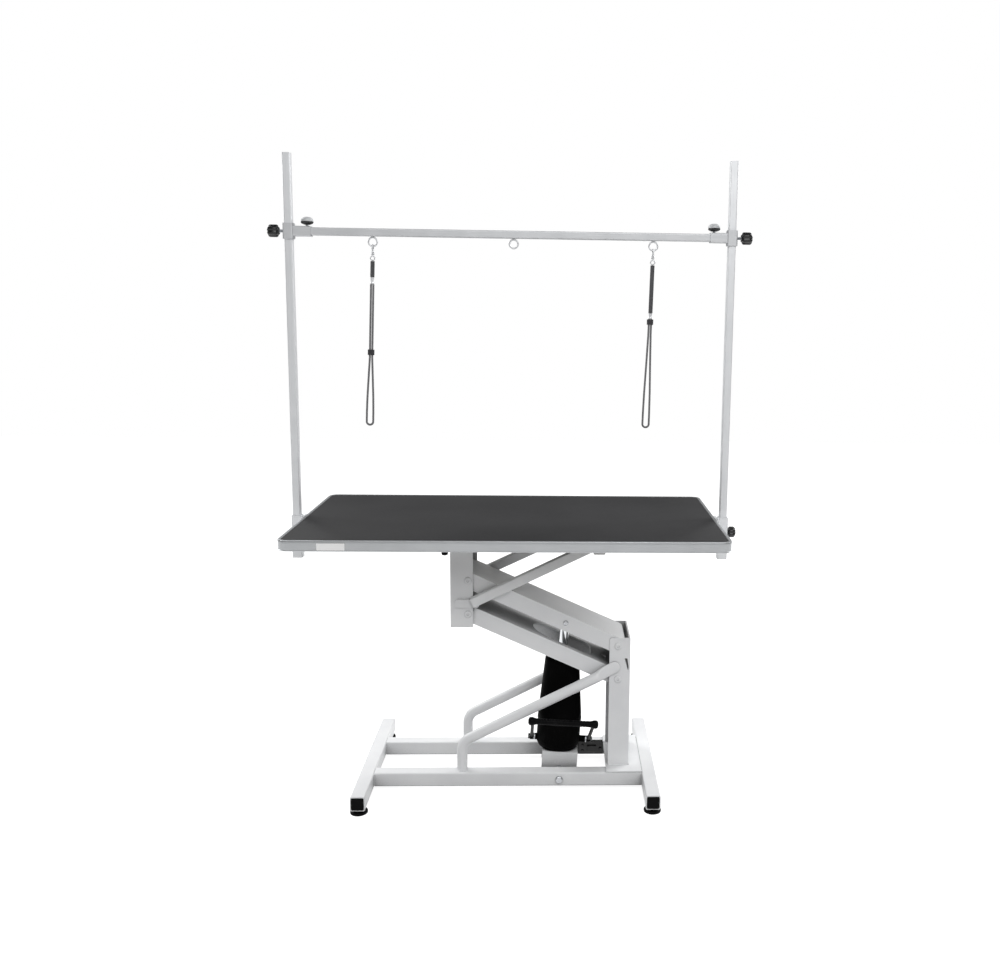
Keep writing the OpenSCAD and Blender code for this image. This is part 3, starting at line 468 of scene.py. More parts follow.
class Piece:
    """One mesh under construction. Sizes are millimetres, and done() writes metres."""

    def __init__(self, name: str) -> None:
        """Starts an empty mesh with a map layer."""
        self.name = name
        self.mesh = bmesh.new()
        self.flat = self.mesh.loops.layers.uv.new("map")

    def skin(self, rings: Sequence[Sequence[Vector]], closed: bool = False, caps: bool = True,
             lengths: Sequence[float] | None = None) -> "Piece":
        """Joins rings of equal count with quads.

        Args:
            rings: closed rings of points, in order.
            closed: the last ring joins the first.
            caps: the end rings get a face each.
            lengths: distance of each ring along the piece, for the map.

        Returns:
            This piece.
        """
        rows = [[self.mesh.verts.new(p) for p in ring] for ring in rings]
        count = len(rows[0])
        pairs = list(zip(rows, rows[1:])) + ([(rows[-1], rows[0])] if closed else [])
        for i, (low, high) in enumerate(pairs):
            for j in range(count):
                k = (j + 1) % count
                face = self.mesh.faces.new((low[j], low[k], high[k], high[j]))
                if lengths:
                    top = lengths[i + 1] if i + 1 < len(lengths) else lengths[i] + lengths[1]
                    for loop, (u, v) in zip(face.loops, ((j, lengths[i]), (j + 1, lengths[i]),
                                                         (j + 1, top), (j, top))):
                        loop[self.flat].uv = (u / count, v)
        if caps and not closed:
            self.mesh.faces.new(rows[0])
            self.mesh.faces.new(rows[-1])
        return self

    def lathe(self, profile: Outline, at: Matrix = Matrix.Identity(4), steps: int = 48,
              loop: bool = False, shape: Shape | None = None) -> "Piece":
        """Turns a profile about local Z.

        Args:
            profile: (radius, height) points, starting and ending near the axis unless it is a loop.
            at: the frame that the profile is turned in.
            steps: points round each ring.
            loop: the profile is closed, as for a torus or a pipe.
            shape: changes the radius, given the radius, the height and the angle.

        Returns:
            This piece.
        """
        rings = []
        for r, z in profile:
            ring = []
            for i in range(steps):
                a = math.tau * i / steps
                reach = shape(r, z, a) if shape else r
                ring.append(at @ Vector((reach * math.cos(a), reach * math.sin(a), z)))
            rings.append(ring)
        return self.skin(rings, closed=loop)

    def sweep(self, path: Sequence[Vector], section: Section, up: Vector,
              closed: bool = False) -> "Piece":
        """Sweeps a section along a path.

        Args:
            path: points of the path.
            section: the closed outline at a point's number, as (side, up) pairs.
            up: the direction that the section's second axis leans to.
            closed: the path is a loop.

        Returns:
            This piece.
        """
        rings, lengths, run = [], [], 0.0
        last = len(path) - 1
        for i, point in enumerate(path):
            before = path[i - 1] if i > 0 else (path[last] if closed else path[0])
            after = path[i + 1] if i < last else (path[0] if closed else path[last])
            along = (after - before).normalized()
            side = along.cross(up).normalized()
            rise = side.cross(along)
            run += (point - path[i - 1]).length if i else 0.0
            lengths.append(run)
            rings.append([point + side * a + rise * b for a, b in section(i)])
        return self.skin(rings, closed=closed, lengths=lengths)

    def ring(self, radius: float, at: Matrix, steps: int, section: Section) -> "Piece":
        """Sweeps a section round a circle in a frame's XY plane."""
        return self.sweep(circle(radius, at, steps), section, at.to_3x3() @ UP, closed=True)

    def block(self, low: Point, high: Point) -> "Piece":
        """A block between two corners."""
        outline = [(low[0], low[1]), (high[0], low[1]), (high[0], high[1]), (low[0], high[1])]
        return self.skin([[Vector((x, y, z)) for x, y in outline] for z in (low[2], high[2])])

    def done(self, finish: Finish, body: str, replaces: Sequence[str] = (),
             bevel: float = 0.0, smooth: float = 35.0) -> bpy.types.Object:
        """Writes the mesh in metres, dresses it and gives it to its body.

        Args:
            finish: the surface.
            body: the CAD body that carries it.
            replaces: CAD nodes that it stands for.
            bevel: width of the rounding on its sharp edges, in millimetres.
            smooth: edges flatter than this many degrees shade smooth.

        Returns:
            The new object.
        """
        bmesh.ops.remove_doubles(self.mesh, verts=self.mesh.verts, dist=MERGE_MM)
        bmesh.ops.recalc_face_normals(self.mesh, faces=self.mesh.faces)
        bmesh.ops.scale(self.mesh, vec=(MM, MM, MM), verts=self.mesh.verts)
        data = bpy.data.meshes.new(self.name)
        self.mesh.to_mesh(data)
        self.mesh.free()
        data.shade_smooth()
        data.set_sharp_from_angle(angle=math.radians(smooth))
        thing = add_object(self.name, data)
        data.materials.append(finish.material())
        if bevel:
            soften(thing, bevel)
        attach(thing, body)
        if replaces:
            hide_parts(*replaces)
        log.info("%s: %d faces on %s", self.name, len(data.polygons), body)
        return thing


def soften(thing: bpy.types.Object, width: float) -> None:
    """Rounds the sharp edges of a piece.

    Args:
        thing: the object.
        width: width of the rounding in millimetres.
    """
    rounding = thing.modifiers.new("edge rounding", "BEVEL")
    rounding.width = width * MM
    rounding.segments = 2
    rounding.limit_method = "ANGLE"
    rounding.angle_limit = math.radians(SHARP_DEG)
    rounding.harden_normals = True


def dress(finish: Finish, *nodes: str, bevel: float = 0.0) -> None:
    """Gives CAD nodes their finish.

    Args:
        finish: the surface.
        nodes: the CAD nodes.
        bevel: width of the rounding on their edges, in millimetres.
    """
    for name in nodes:
        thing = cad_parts[name]
        thing.data.materials.clear()
        thing.data.materials.append(finish.material())
        if bevel:
            soften(thing, bevel)
        log.info("%s: dressed in %s", name, finish.name)


def disc(radius: float, count: int) -> Outline:
    """Outline of a circle."""
    return [(radius * math.cos(math.tau * i / count), radius * math.sin(math.tau * i / count))
            for i in range(count)]


def circle(radius: float, at: Matrix, steps: int) -> list[Vector]:
    """Points on a circle in a frame's XY plane."""
    return [at @ Vector((x, y, 0)) for x, y in disc(radius, steps)]


def superdisc(wide: float, tall: float, powers: tuple[float, float], count: int) -> Outline:
    """Outline of an ellipse whose sides flatten as its two powers fall below one."""
    return [tuple(math.copysign(abs(c) ** power, c) * half
                  for c, power, half in zip((x, y), powers, (wide, tall)))
            for x, y in disc(1.0, count)]


def eased(inner: float, outer: float, low: float, high: float, ease: float = 0.4) -> Outline:
    """Profile of a bar or pipe whose outer edges are eased."""
    return [(inner, low), (outer - ease, low), (outer, low + ease), (outer, high - ease),
            (outer - ease, high), (inner, high)]


def rounded(width: float, height: float, radius: float, corner: int = 4) -> Outline:
    """Outline of a rounded rectangle, counter-clockwise."""
    points = []
    for cx, cy, start in ((1, 1, 0), (-1, 1, 90), (-1, -1, 180), (1, -1, 270)):
        for i in range(corner + 1):
            a = math.radians(start + 90 * i / corner)
            points.append((cx * (width / 2 - radius) + radius * math.cos(a),
                           cy * (height / 2 - radius) + radius * math.sin(a)))
    return points


@dataclass
class PhotoCamera:
    """The camera fitted to the photograph, in metres and radians."""

    place: Point = (0.11331, -2.64818, 1.28911)
    yaw: float = -0.039233
    pitch: float = -0.146581
    roll: float = -0.013801
    focal_px: float = 998.358
    centre_px: Point = (593.026, 455.424)

    def build(self) -> None:
        """Makes the camera and sets it as the scene's own."""
        lens = bpy.data.cameras.new("photo_camera")
        lens.sensor_width = SENSOR_MM
        lens.lens = self.focal_px * SENSOR_MM / IMAGE_W
        lens.shift_x = (IMAGE_W / 2 - self.centre_px[0]) / IMAGE_W
        lens.shift_y = (self.centre_px[1] - IMAGE_H / 2) / IMAGE_W
        camera = add_object("photo_camera", lens)
        turn = (Matrix.Rotation(self.yaw, 4, "Z") @ Matrix.Rotation(self.pitch, 4, "X")
                @ Matrix.Rotation(self.roll, 4, "Y") @ Matrix.Rotation(math.pi / 2, 4, "X"))
        camera.matrix_world = Matrix.Translation(self.place) @ turn
        bpy.context.scene.camera = camera
        log.info("camera: lens %.2f mm", lens.lens)


@dataclass
class Studio:
    """White sweep, soft lamps and a plain world."""

    floor_size: float = 14.0
    paper: str = "B4B4B4"
    paper_glow: float = 0.9
    world_light: float = 0.25
    back_power: float = 130.0
    front_power: float = 110.0

    def build(self) -> None:
        """Makes the floor, the world and the lamps."""
        self.floor()
        self.world()
        for name, x in (("back_left_softbox", -3.0), ("back_right_softbox", 3.0)):
            self.lamp(name, place=(x, 2.0, 3.0), aim=(0.0, 0.0, 0.1), size=2.6,
                      power=self.back_power)
        self.lamp("front_softbox", place=(0.6, -3.4, 3.6), aim=(0.0, 0.0, 0.3), size=3.0,
                  power=self.front_power)

    def floor(self) -> None:
        """A pale floor that glows white to the camera and keeps soft shadows."""
        edge = self.floor_size / 2
        mesh = bpy.data.meshes.new("floor")
        mesh.from_pydata([(-edge, -edge, 0), (edge, -edge, 0), (edge, edge, 0), (-edge, edge, 0)],
                         [], [(0, 1, 2, 3)])
        floor = add_object("floor", mesh)
        material = bpy.data.materials.new("white_paper_floor")
        material.use_nodes = True
        tree = material.node_tree
        tree.nodes.clear()
        seen = self.seen_by(tree, "Camera", "Glossy")
        paper = add_node(tree, "BsdfDiffuse", {"Color": linear(self.paper)}).outputs["BSDF"]
        glow = add_node(tree, "Emission", {"Strength": self.paper_glow}).outputs["Emission"]
        both = add_node(tree, "AddShader", {}, {0: paper, 1: glow}).outputs["Shader"]
        mixed = add_node(tree, "MixShader", {}, {0: seen, 1: paper, 2: both}).outputs["Shader"]
        add_node(tree, "OutputMaterial", {}, {"Surface": mixed})
        mesh.materials.append(material)

    def world(self) -> None:
        """White to the camera, a plain soft grey as light."""
        world = bpy.data.worlds.new("studio")
        bpy.context.scene.world = world
        world.use_nodes = True
        tree = world.node_tree
        tree.nodes.clear()
        seen = self.seen_by(tree, "Camera", "Transmission")
        light, white = (add_node(tree, "Background", {
            "Color": linear("FFFFFF"), "Strength": strength}).outputs["Background"]
            for strength in (self.world_light, 1.0))
        mixed = add_node(tree, "MixShader", {}, {0: seen, 1: light, 2: white}).outputs["Shader"]
        add_node(tree, "OutputWorld", {}, {"Surface": mixed})

    @staticmethod
    def seen_by(tree: bpy.types.NodeTree, *rays: str) -> bpy.types.NodeSocket:
        """One for either of two kinds of ray, else zero."""
        path = add_node(tree, "LightPath")
        return add_node(tree, "Math", {"operation": "MAXIMUM"}, {
            i: path.outputs[f"Is {ray} Ray"] for i, ray in enumerate(rays)}).outputs["Value"]

    def lamp(self, name: str, place: Point, aim: Point, size: float, power: float) -> None:
        """A square area lamp that looks at a point."""
        data = bpy.data.lights.new(name, "AREA")
        data.size = size
        data.energy = power
        lamp = add_object(name, data)
        lamp.location = place
        lamp.rotation_euler = (Vector(aim) - Vector(place)).to_track_quat("-Z", "Y").to_euler()


@dataclass
class Noose:
    """A hanging noose: snap hook, woven band, ferrule, cord loop and its keeper.

    Depths are millimetres below the wire of the eye that it hangs from. The keys are depths
    with half the distance between the strands there. The cord's length is in metres and is not
    used.
    """

    side: Side
    lean: float
    band: tuple[float, float]
    ferrule_end: float
    keys: Sequence[tuple[float, float]]
    length: float
    cord_d: float = 5.5
    end: float = 464.0
    step: float = 14.0

    @property
    def body(self) -> str:
        """The CAD body that swings with this noose."""
        return f"{self.side.word}_noose"

    def frame(self) -> Matrix:
        """Frame of the noose at rest, origin on the wire of its eye."""
        return leaning(self.side.value * EYE_PITCH + EYE_SHIFT, HANG_Z, self.lean)

    def half_width(self, depth: float) -> float:
        """Half the distance between the strands at a depth."""
        for (s0, w0), (s1, w1) in zip(self.keys, self.keys[1:]):
            if depth <= s1:
                return w0 + (w1 - w0) * max(0.0, (depth - s0) / (s1 - s0))
        return self.keys[-1][1]

    def route(self) -> list[Vector]:
        """The cord's route in millimetres, as the CAD has it: down, round the end and up."""
        r = self.keys[-1][1]
        low = self.end - r
        count = math.ceil((low - self.ferrule_end) / self.step)
        down = [(-self.half_width(s), -s) for s in
                (self.ferrule_end + (low - self.ferrule_end) * i / count for i in range(count))]
        turn = [(-r * math.cos(a), -low - r * math.sin(a))
                for a in (math.radians(22.5 * i) for i in range(9))]
        up = [(-x, z) for x, z in reversed(down)]
        at = self.frame()
        return [at @ Vector((x, 0, z)) for x, z in down + turn + up]

    def build(self) -> None:
        """Makes the cord first, then what is on it."""
        points = self.smooth(self.route())
        cord = Piece(f"{self.side.word}_noose_cord")
        cord.sweep(points, lambda i: disc(self.cord_d / 2 - 0.05, 16), BACK)
        piece = cord.done(CORD, self.body, (f"{self.side.word}_cord",))
        self.band_piece()
        self.hook_piece()
        parts = [self.keeper_piece(), self.ferrule_piece()]

    @staticmethod
    def smooth(points: Sequence[Vector]) -> list[Vector]:
        """Adds three points between each two of a route, on a smooth curve."""
        out = []
        last = len(points) - 1
        for i in range(last):
            a, b, c, d = (points[min(max(k, 0), last)] for k in range(i - 1, i + 3))
            for t in (0, 0.25, 0.5, 0.75):
                out.append(0.5 * (2 * b + (c - a) * t + (2 * a - 5 * b + 4 * c - d) * t * t
                                  + (3 * b - a - 3 * c + d) * t ** 3))
        return out + [points[-1]]

    def band_piece(self) -> None:
        """Woven band folded back on itself, with stitched ends."""
        top, low = self.band
        at = self.frame()
        count = max(6, round((low - top) / 4))
        path = [at @ Vector((0, 0, -top - (low - top) * i / count)) for i in range(count + 1)]

        def section(i: int) -> Outline:
            """The band, a little wider and fuller between its stitched ends."""
            t = i / count
            full = 0.82 + 0.18 * min(1.0, min(t, 1 - t) * 6)
            return rounded(11 * (0.94 + 0.06 * full), 5 * full, 2.2 * full)
        piece = Piece(f"{self.side.word}_noose_band")
        piece.sweep(path, section, BACK)
        piece.done(BAND, self.body, (f"{self.side.word}_band",))

    def keeper_piece(self) -> bpy.types.Object:
        """Moulded slider round both strands."""
        name = f"{self.side.word}_keeper"
        dress(SLIDER, name, bevel=0.8)
        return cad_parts[name]

    def hook_piece(self) -> None:
        """Snap hook with a swivel barrel and the ring that holds the band."""
        at = self.frame()
        wire, r = 1.8, 8.0
        clear = EYE_WIRE_R + wire + 0.3
        low = clear - 2 * r
        cross = at @ Matrix.Translation((0, 0, clear - r)) @ Matrix.Rotation(math.pi / 2, 4, "Y")
        piece = Piece(f"{self.side.word}_snap_hook")
        piece.ring(r, cross, 40,
                   lambda i: disc(wire * (1 + 0.15 * math.cos(math.tau * i / 40)), 12))
        piece.lathe([(0.2, low - 11), (2.6, low - 11), (4.2, low - 10), (4.4, low - 7),
                     (3.4, low - 6), (3.4, low - 4.6), (4.4, low - 3.6), (4.2, low - 1),
                     (3, low + 0.6), (0.2, low + 0.8)], at, 24)
        upright = Matrix.Rotation(math.pi / 2, 4, "X")
        ring = at @ Matrix.Translation((0, 0, -self.band[0] + 7.4)) @ upright
        piece.ring(5.5, ring, 32, lambda i: disc(1.6, 10))
        piece.lathe([(0.2, low - 15), (2, low - 15), (3, low - 13.5), (2.4, low - 11),
                     (0.2, low - 10.5)], at, 16)
        piece.done(NICKEL, self.body, (f"{self.side.word}_hook",))

    def ferrule_piece(self) -> bpy.types.Object:
        """Crimped metal sleeve between band and cord."""
        at = self.frame()
        top, low = -self.band[1] - 0.05, -self.ferrule_end + 0.05
        mid = (top + low) / 2
        piece = Piece(f"{self.side.word}_ferrule")
        piece.lathe([(0.2, low), (3.9, low), (4.5, low + 0.8), (4.5, mid - 3.4), (3.9, mid - 2.4),
                     (3.9, mid + 2.4), (4.5, mid + 3.4), (4.5, top - 0.8), (3.9, top),
                     (0.2, top)], at, 24)
        return piece.done(NICKEL, self.body)


def facing(place: Point, axis: Point) -> Matrix:
    """A frame at a place whose local Z points along an axis."""
    return Matrix.Translation(place) @ Vector(axis).to_track_quat("Z", "Y").to_matrix().to_4x4()


def add_hex_head(piece: Piece, at: Matrix, across: float, height: float,
                 washer: float = 0.0) -> None:
    """Adds a chamfered hexagon head, on a washer where it has one.

    Args:
        piece: the mesh it goes to.
        at: frame on the seat, local Z pointing away from it.
        across: size across the flats.
        height: height over the seat, washer included.
        washer: outside diameter of the washer.
    """
    low = 0.0
    if washer:
        low = 1.6
        piece.lathe(eased(0.3, washer / 2, 0, low), at, 32)
    corners = disc(across / math.sqrt(3), 6)
    piece.skin([[at @ Vector((x * scale, y * scale, z)) for x, y in corners] for z, scale in
                ((low, 0.96), (low + 0.4, 1.0), (height - 0.9, 1.0), (height, 0.88))])


def add_dome_head(piece: Piece, at: Matrix, radius: float, height: float) -> None:
    """Adds a round domed head on its seat, with a hexagon socket in it."""
    piece.lathe([(0.3, 0), (radius, 0), (radius, height * 0.25), (radius * 0.94, height * 0.55),
                 (radius * 0.78, height * 0.85), (radius * 0.55, height), (radius * 0.36, height),
                 (radius * 0.34, height * 0.45), (0.3, height * 0.45)], at, 32)


def add_weld(piece: Piece, path: Sequence[Point], radius: float, up: Vector,
             closed: bool = False) -> None:
    """Adds a rippled weld bead along a path.

    Args:
        piece: the mesh it goes to.
        path: points along the seam.
        radius: radius of the bead.
        up: a direction across the seam.
        closed: the seam is a loop.
    """
    corners = [Vector(p) for p in path]
    fine: list[Vector] = []
    for a, b in zip(corners, corners[1:] + corners[:1] if closed else corners[1:]):
        count = max(1, round((b - a).length / 1.3))
        fine += [a.lerp(b, i / count) for i in range(count)]
    if not closed:
        fine.append(corners[-1])
    # The bead swells and shrinks, as each drop of weld sets.
    piece.sweep(fine, lambda i: disc(radius * (1.0 + 0.16 * math.cos(i * math.tau / 3.0)), 8), up,
                closed=closed)


@dataclass
class BaseFrame:
    """Floor frame, column, lower stays, feet, pump axle and valve block, in millimetres."""

    rail_y: float = 96.4
    rail_top: float = 51.5
    tube: float = 38.0
    cross_x: float = 377.5
    shift: float = -2.5
    stay_x: float = 128.0
    stay_r: float = 14.0
    stay_bend: float = 38.0
    bend_z: float = 130.0
    stay_tip_x: float = 281.0
    flat_len: float = 70.0
    stay_tops: dict[int, float] = field(default_factory=lambda: {-1: 335.0, 1: 338.0})
    column_x: tuple[float, float] = (266.0, 322.0)
    plate_top: float = 55.5
    foot_y: float = 226.0
    foot_r: float = 22.5

    def build(self) -> None:
        """Makes and dresses the whole base."""
        dress(WHITE, "left_cross_tube", "right_cross_tube", "front_rail", "rear_rail")
        dress(WHITE, "column_plate", "column", bevel=0.8)
        dress(BLACK, "cross_tube_caps", bevel=1.2)
        for side, name in ((-1, "front_stay"), (1, "rear_stay")):
            self.stay(side, name)
        self.welds()
        self.axle()
        self.valve()
        for row, sy in (("front", -1), ("rear", 1)):
            for side in Side:
                self.foot(f"{row}_{side.word}", f"foot_{row[0]}{side.word[0]}", side.value, sy)

    def stay(self, side: int, name: str) -> None:
        """One bent stay: a round tube, its end pressed flat and welded to the column's cheek."""
        corner = Vector((-self.stay_x, 0, self.bend_z))
        end = Vector((self.stay_tip_x, 0, self.stay_tops[side]))
        slope = (end - corner).normalized()
        turn = math.acos(slope.z)
        reach = self.stay_bend * math.tan(turn / 2)
        foot = self.bend_z - reach - self.rail_top
        path = [Vector((-self.stay_x, 0, self.rail_top + 0.05 + foot * i / 4)) for i in range(4)]
        centre = Vector((-self.stay_x + self.stay_bend, 0, self.bend_z - reach))
        for i in range(13):
            a = math.pi - turn * i / 12
            path.append(centre + self.stay_bend * Vector((math.cos(a), 0, math.sin(a))))
        start = corner + slope * reach
        tip = end + slope * self.stay_r
        whole = (tip - start).length
        marks = [0.25, 0.5, 0.7] + [1 - self.flat_len * (1 - i / 20) / whole for i in range(21)]
        first_flat = len(path) + 3
        path += [start.lerp(tip, m) for m in marks]
        last = len(path) - 1
        y_round, y_flat = CHEEK_Y + self.stay_r, CHEEK_Y + 4.1
        points, rings, lengths, run = [], [], [], 0.0
        for i, p in enumerate(path):
            t = min(1.0, max(0.0, (i - first_flat) / 10))
            ease = t * t * (3 - 2 * t)
            points.append(p + BACK * side * (y_round + (y_flat - y_round) * ease))
            rise = BACK.cross((path[min(i + 1, last)] - path[max(i - 1, 0)]).normalized())
            run += (points[i] - points[i - 1]).length if i else 0.0
            lengths.append(run)
            # Round, then a flat oval, then its rounded tip.
            tip_t = max(0.0, 1 - (last - i) / 4)
            tall = (self.stay_r + 1.6 * ease) * math.sqrt(max(0.02, 1 - tip_t ** 2 * 0.95))
            thin = self.stay_r + (4.0 - self.stay_r) * ease
            section = superdisc(thin, tall, (1.0 - 0.55 * ease, 1.0 - 0.2 * ease), 28)
            rings.append([points[i] + BACK * u + rise * v for u, v in section])
        piece = Piece(f"{name}_tube")
        piece.skin(rings, lengths=lengths)
        piece.done(WHITE, "base", (name,), smooth=50)

    def welds(self) -> None:
        """Painted weld beads where rails, stays, plate and column meet."""
        piece = Piece("base_weld_beads")
        low, high = self.rail_top - self.tube + 3, self.rail_top - 3
        reach_x, reach_y = self.cross_x - self.tube / 2 - 0.4, self.tube / 2 - 0.4
        for sx in (-1, 1):
            for sy in (-1, 1):
                for side in (-1, 1):
                    x, y = self.shift + sx * reach_x, sy * self.rail_y + side * reach_y
                    add_weld(piece, [(x, y, low), (x, y, high)], 1.5, BACK)
        (x0, x1), z = self.column_x, self.plate_top + 0.3
        for sy in (-1, 1):
            at = Matrix.Translation((-self.stay_x, sy * (CHEEK_Y + self.stay_r),
                                     self.rail_top + 0.4))
            add_weld(piece, circle(self.stay_r + 0.3, at, 36), 1.5, UP, closed=True)
            y = sy * (CHEEK_Y + 0.3)
            add_weld(piece, [(x0 + 1, y, z), (x1 - 1, y, z)], 1.8, UP)
        add_weld(piece, [(x1 + 0.3, sy * CHEEK_Y, z) for sy in (-1, 1)], 1.8, UP)
        piece.done(WHITE, "base", smooth=60)

    def axle(self) -> None:
        """Pump axle: shaft, spacers, a hexagon head in front and a nut behind."""
        x, z = PUMP_PIVOT
        outer = self.rail_y + self.tube / 2
        inner = self.rail_y - self.tube / 2
        piece = Piece("pump_axle_bolt")
        piece.lathe([(0.3, -outer - 1), (5.95, -outer - 1), (5.95, outer + 1), (0.3, outer + 1)],
                    facing((x, 0, z), (0, 1, 0)), 32)
        for sy in (-1, 1):
            add_hex_head(piece, facing((x, sy * outer, z), (0, sy, 0)), 17, 6.0, 19)
            piece.lathe([(6.2, 50.3), (9.6, 50.3), (10, 50.8), (10, inner - 0.5), (9.6, inner),
                         (6.2, inner)], facing((x, 0, z), (0, sy, 0)), 32, loop=True)
        piece.done(ZINC, "base", ("pump_axle",))

    def valve(self) -> None:
        """Black valve block on the rear rail, with its bolts and two hose unions."""
        x0, x1, y1 = 190.0, 259.0, self.rail_y - self.tube / 2
        y0, z0, z1 = y1 - 14, 20.5, 58.5
        piece = Piece("valve_block_body")
        piece.block((x0, y0, z0), (x1, y1 - 0.05, z1))
        piece.block((x0 + 24, y0 - 6, 29.5), (x0 + 50, y0 + 0.5, 47.5))
        piece.done(GLOSS_BLACK, "base", ("valve_block",), bevel=1.4)
        trim = Piece("valve_block_fittings")
        add_hex_head(trim, facing((x1 - 7, y0, 37.5), (0, -1, 0)), 8, 4.5, 10)
        for z in (47, 31):
            add_hex_head(trim, facing((x0 + 11, y0, z), (0, -1, 0)), 7, 3.5, 9)
        for x in (x0 + 30, x0 + 44):
            add_hex_head(trim, facing((x, y0 + 7, z1), (0, 0, 1)), 6, 0.95)
        trim.done(GLOSS_BLACK, "base")

    def foot(self, name: str, body: str, sx: int, sy: int) -> None:
        """One levelling foot: ribbed nylon pad and a threaded stud.

        Args:
            name: its corner, as the CAD node writes it.
            body: the CAD body that it turns with.
            sx: -1 for left, 1 for right.
            sy: -1 for front, 1 for rear.
        """
        at = Matrix.Translation((self.shift + sx * self.cross_x, sy * self.foot_y, 0))
        r = self.foot_r

        def ribs(radius: float, height: float, angle: float) -> float:
            """Grip ribs round the rim."""
            grip = radius > r - 3 and 1 < height < 7
            return radius + (0.35 * math.cos(36 * angle) - 0.35 if grip else 0.0)
        pad = Piece(f"levelling_pad_{name}")
        pad.lathe([(0.3, 0), (r - 1.2, 0), (r - 0.3, 0.6), (r, 1.6), (r, 5.2), (r - 0.8, 6.2),
                   (r - 3, 7.4), (r - 8, 8.8), (12.5, 9.8), (12, 11), (0.3, 11)],
                  at, 144, shape=ribs)
        pad.done(BLACK, body, (f"foot_{name}",))
        stud = Piece(f"levelling_stud_{name}")
        add_hex_head(stud, at @ Matrix.Translation((0, 0, 10.9)), 13, 1.9)
        thread = [(0.3, 11)]
        for i in range(27):
            thread += [(4.3, 11.2 + i), (4.95, 11.7 + i)]
        stud.lathe(thread + [(4.3, 38.4), (0.3, 38.6)], at, 24)
        stud.done(ZINC, body)


@dataclass
class LiftArms:
    """Two channel arms with their pivot bolts, in millimetres."""

    upper_half: float = 72.0
    stop_y: float = 62.7
    pin_r: float = 4.95

    def build(self) -> None:
        """Dresses the arms and makes their bolts."""
        dress(WHITE, "upper_arm", "lower_arm", bevel=0.8)
        self.upper_pins()
        self.ram_bolt()
        self.lower_axles()

    def through_bolt(self, piece: Piece, arm: Matrix, x: float, end: float, seat: float,
                     head_r: float) -> None:
        """A bolt across an arm, with low domed heads.

        Args:
            piece: the mesh it goes to.
            arm: the arm's frame.
            x: its place along the arm.
            end: half the length of its shaft.
            seat: distance of each head's seat from the middle plane.
            head_r: radius of its heads.
        """
        piece.lathe(eased(0.3, self.pin_r, -end, end), arm @ facing((x, 0, 0), (0, 1, 0)), 32)
        for sy in (-1, 1):
            add_dome_head(piece, arm @ facing((x, sy * seat, 0), (0, sy, 0)), head_r, 4)

    def end_bolt(self, piece: Piece, arm: Matrix, x: float) -> None:
        """A bolt through both cheeks at one end of an arm."""
        self.through_bolt(piece, arm, x, CHEEK_Y + 1, CHEEK_Y + 0.3, 10)

    def upper_pins(self) -> None:
        """Two through bolts at the upper arm's ends, painted over."""
        piece = Piece("upper_arm_bolts")
        for x in (0.0, -ARM_LENGTH):
            self.end_bolt(piece, upper_arm_frame(), x)
        piece.done(WHITE, "upper_link", ("arm_pins",))

    def ram_bolt(self) -> None:
        """The pin that carries the ram's eye, with two domed heads."""
        piece = Piece("ram_pin_bolt")
        self.through_bolt(piece, upper_arm_frame(), -RAM_PIN_AT, self.upper_half + 0.5,
                          self.upper_half, 7)
        piece.done(ZINC, "upper_link", ("ram_pin",))

    def lower_axles(self) -> None:
        """Two through axles of the lower arm, painted over, with stop collars inside it."""
        piece = Piece("lower_arm_axle_bolts")
        for x in (0.0, -ARM_LENGTH):
            self.end_bolt(piece, lower_arm_frame(), x)
            for sy in (-1, 1):
                piece.lathe(eased(5, 9, self.stop_y - 5, self.stop_y),
                            lower_arm_frame() @ facing((x, 0, 0), (0, sy, 0)), 32, loop=True)
        piece.done(WHITE, "lower_link", ("lower_arm_axles",))


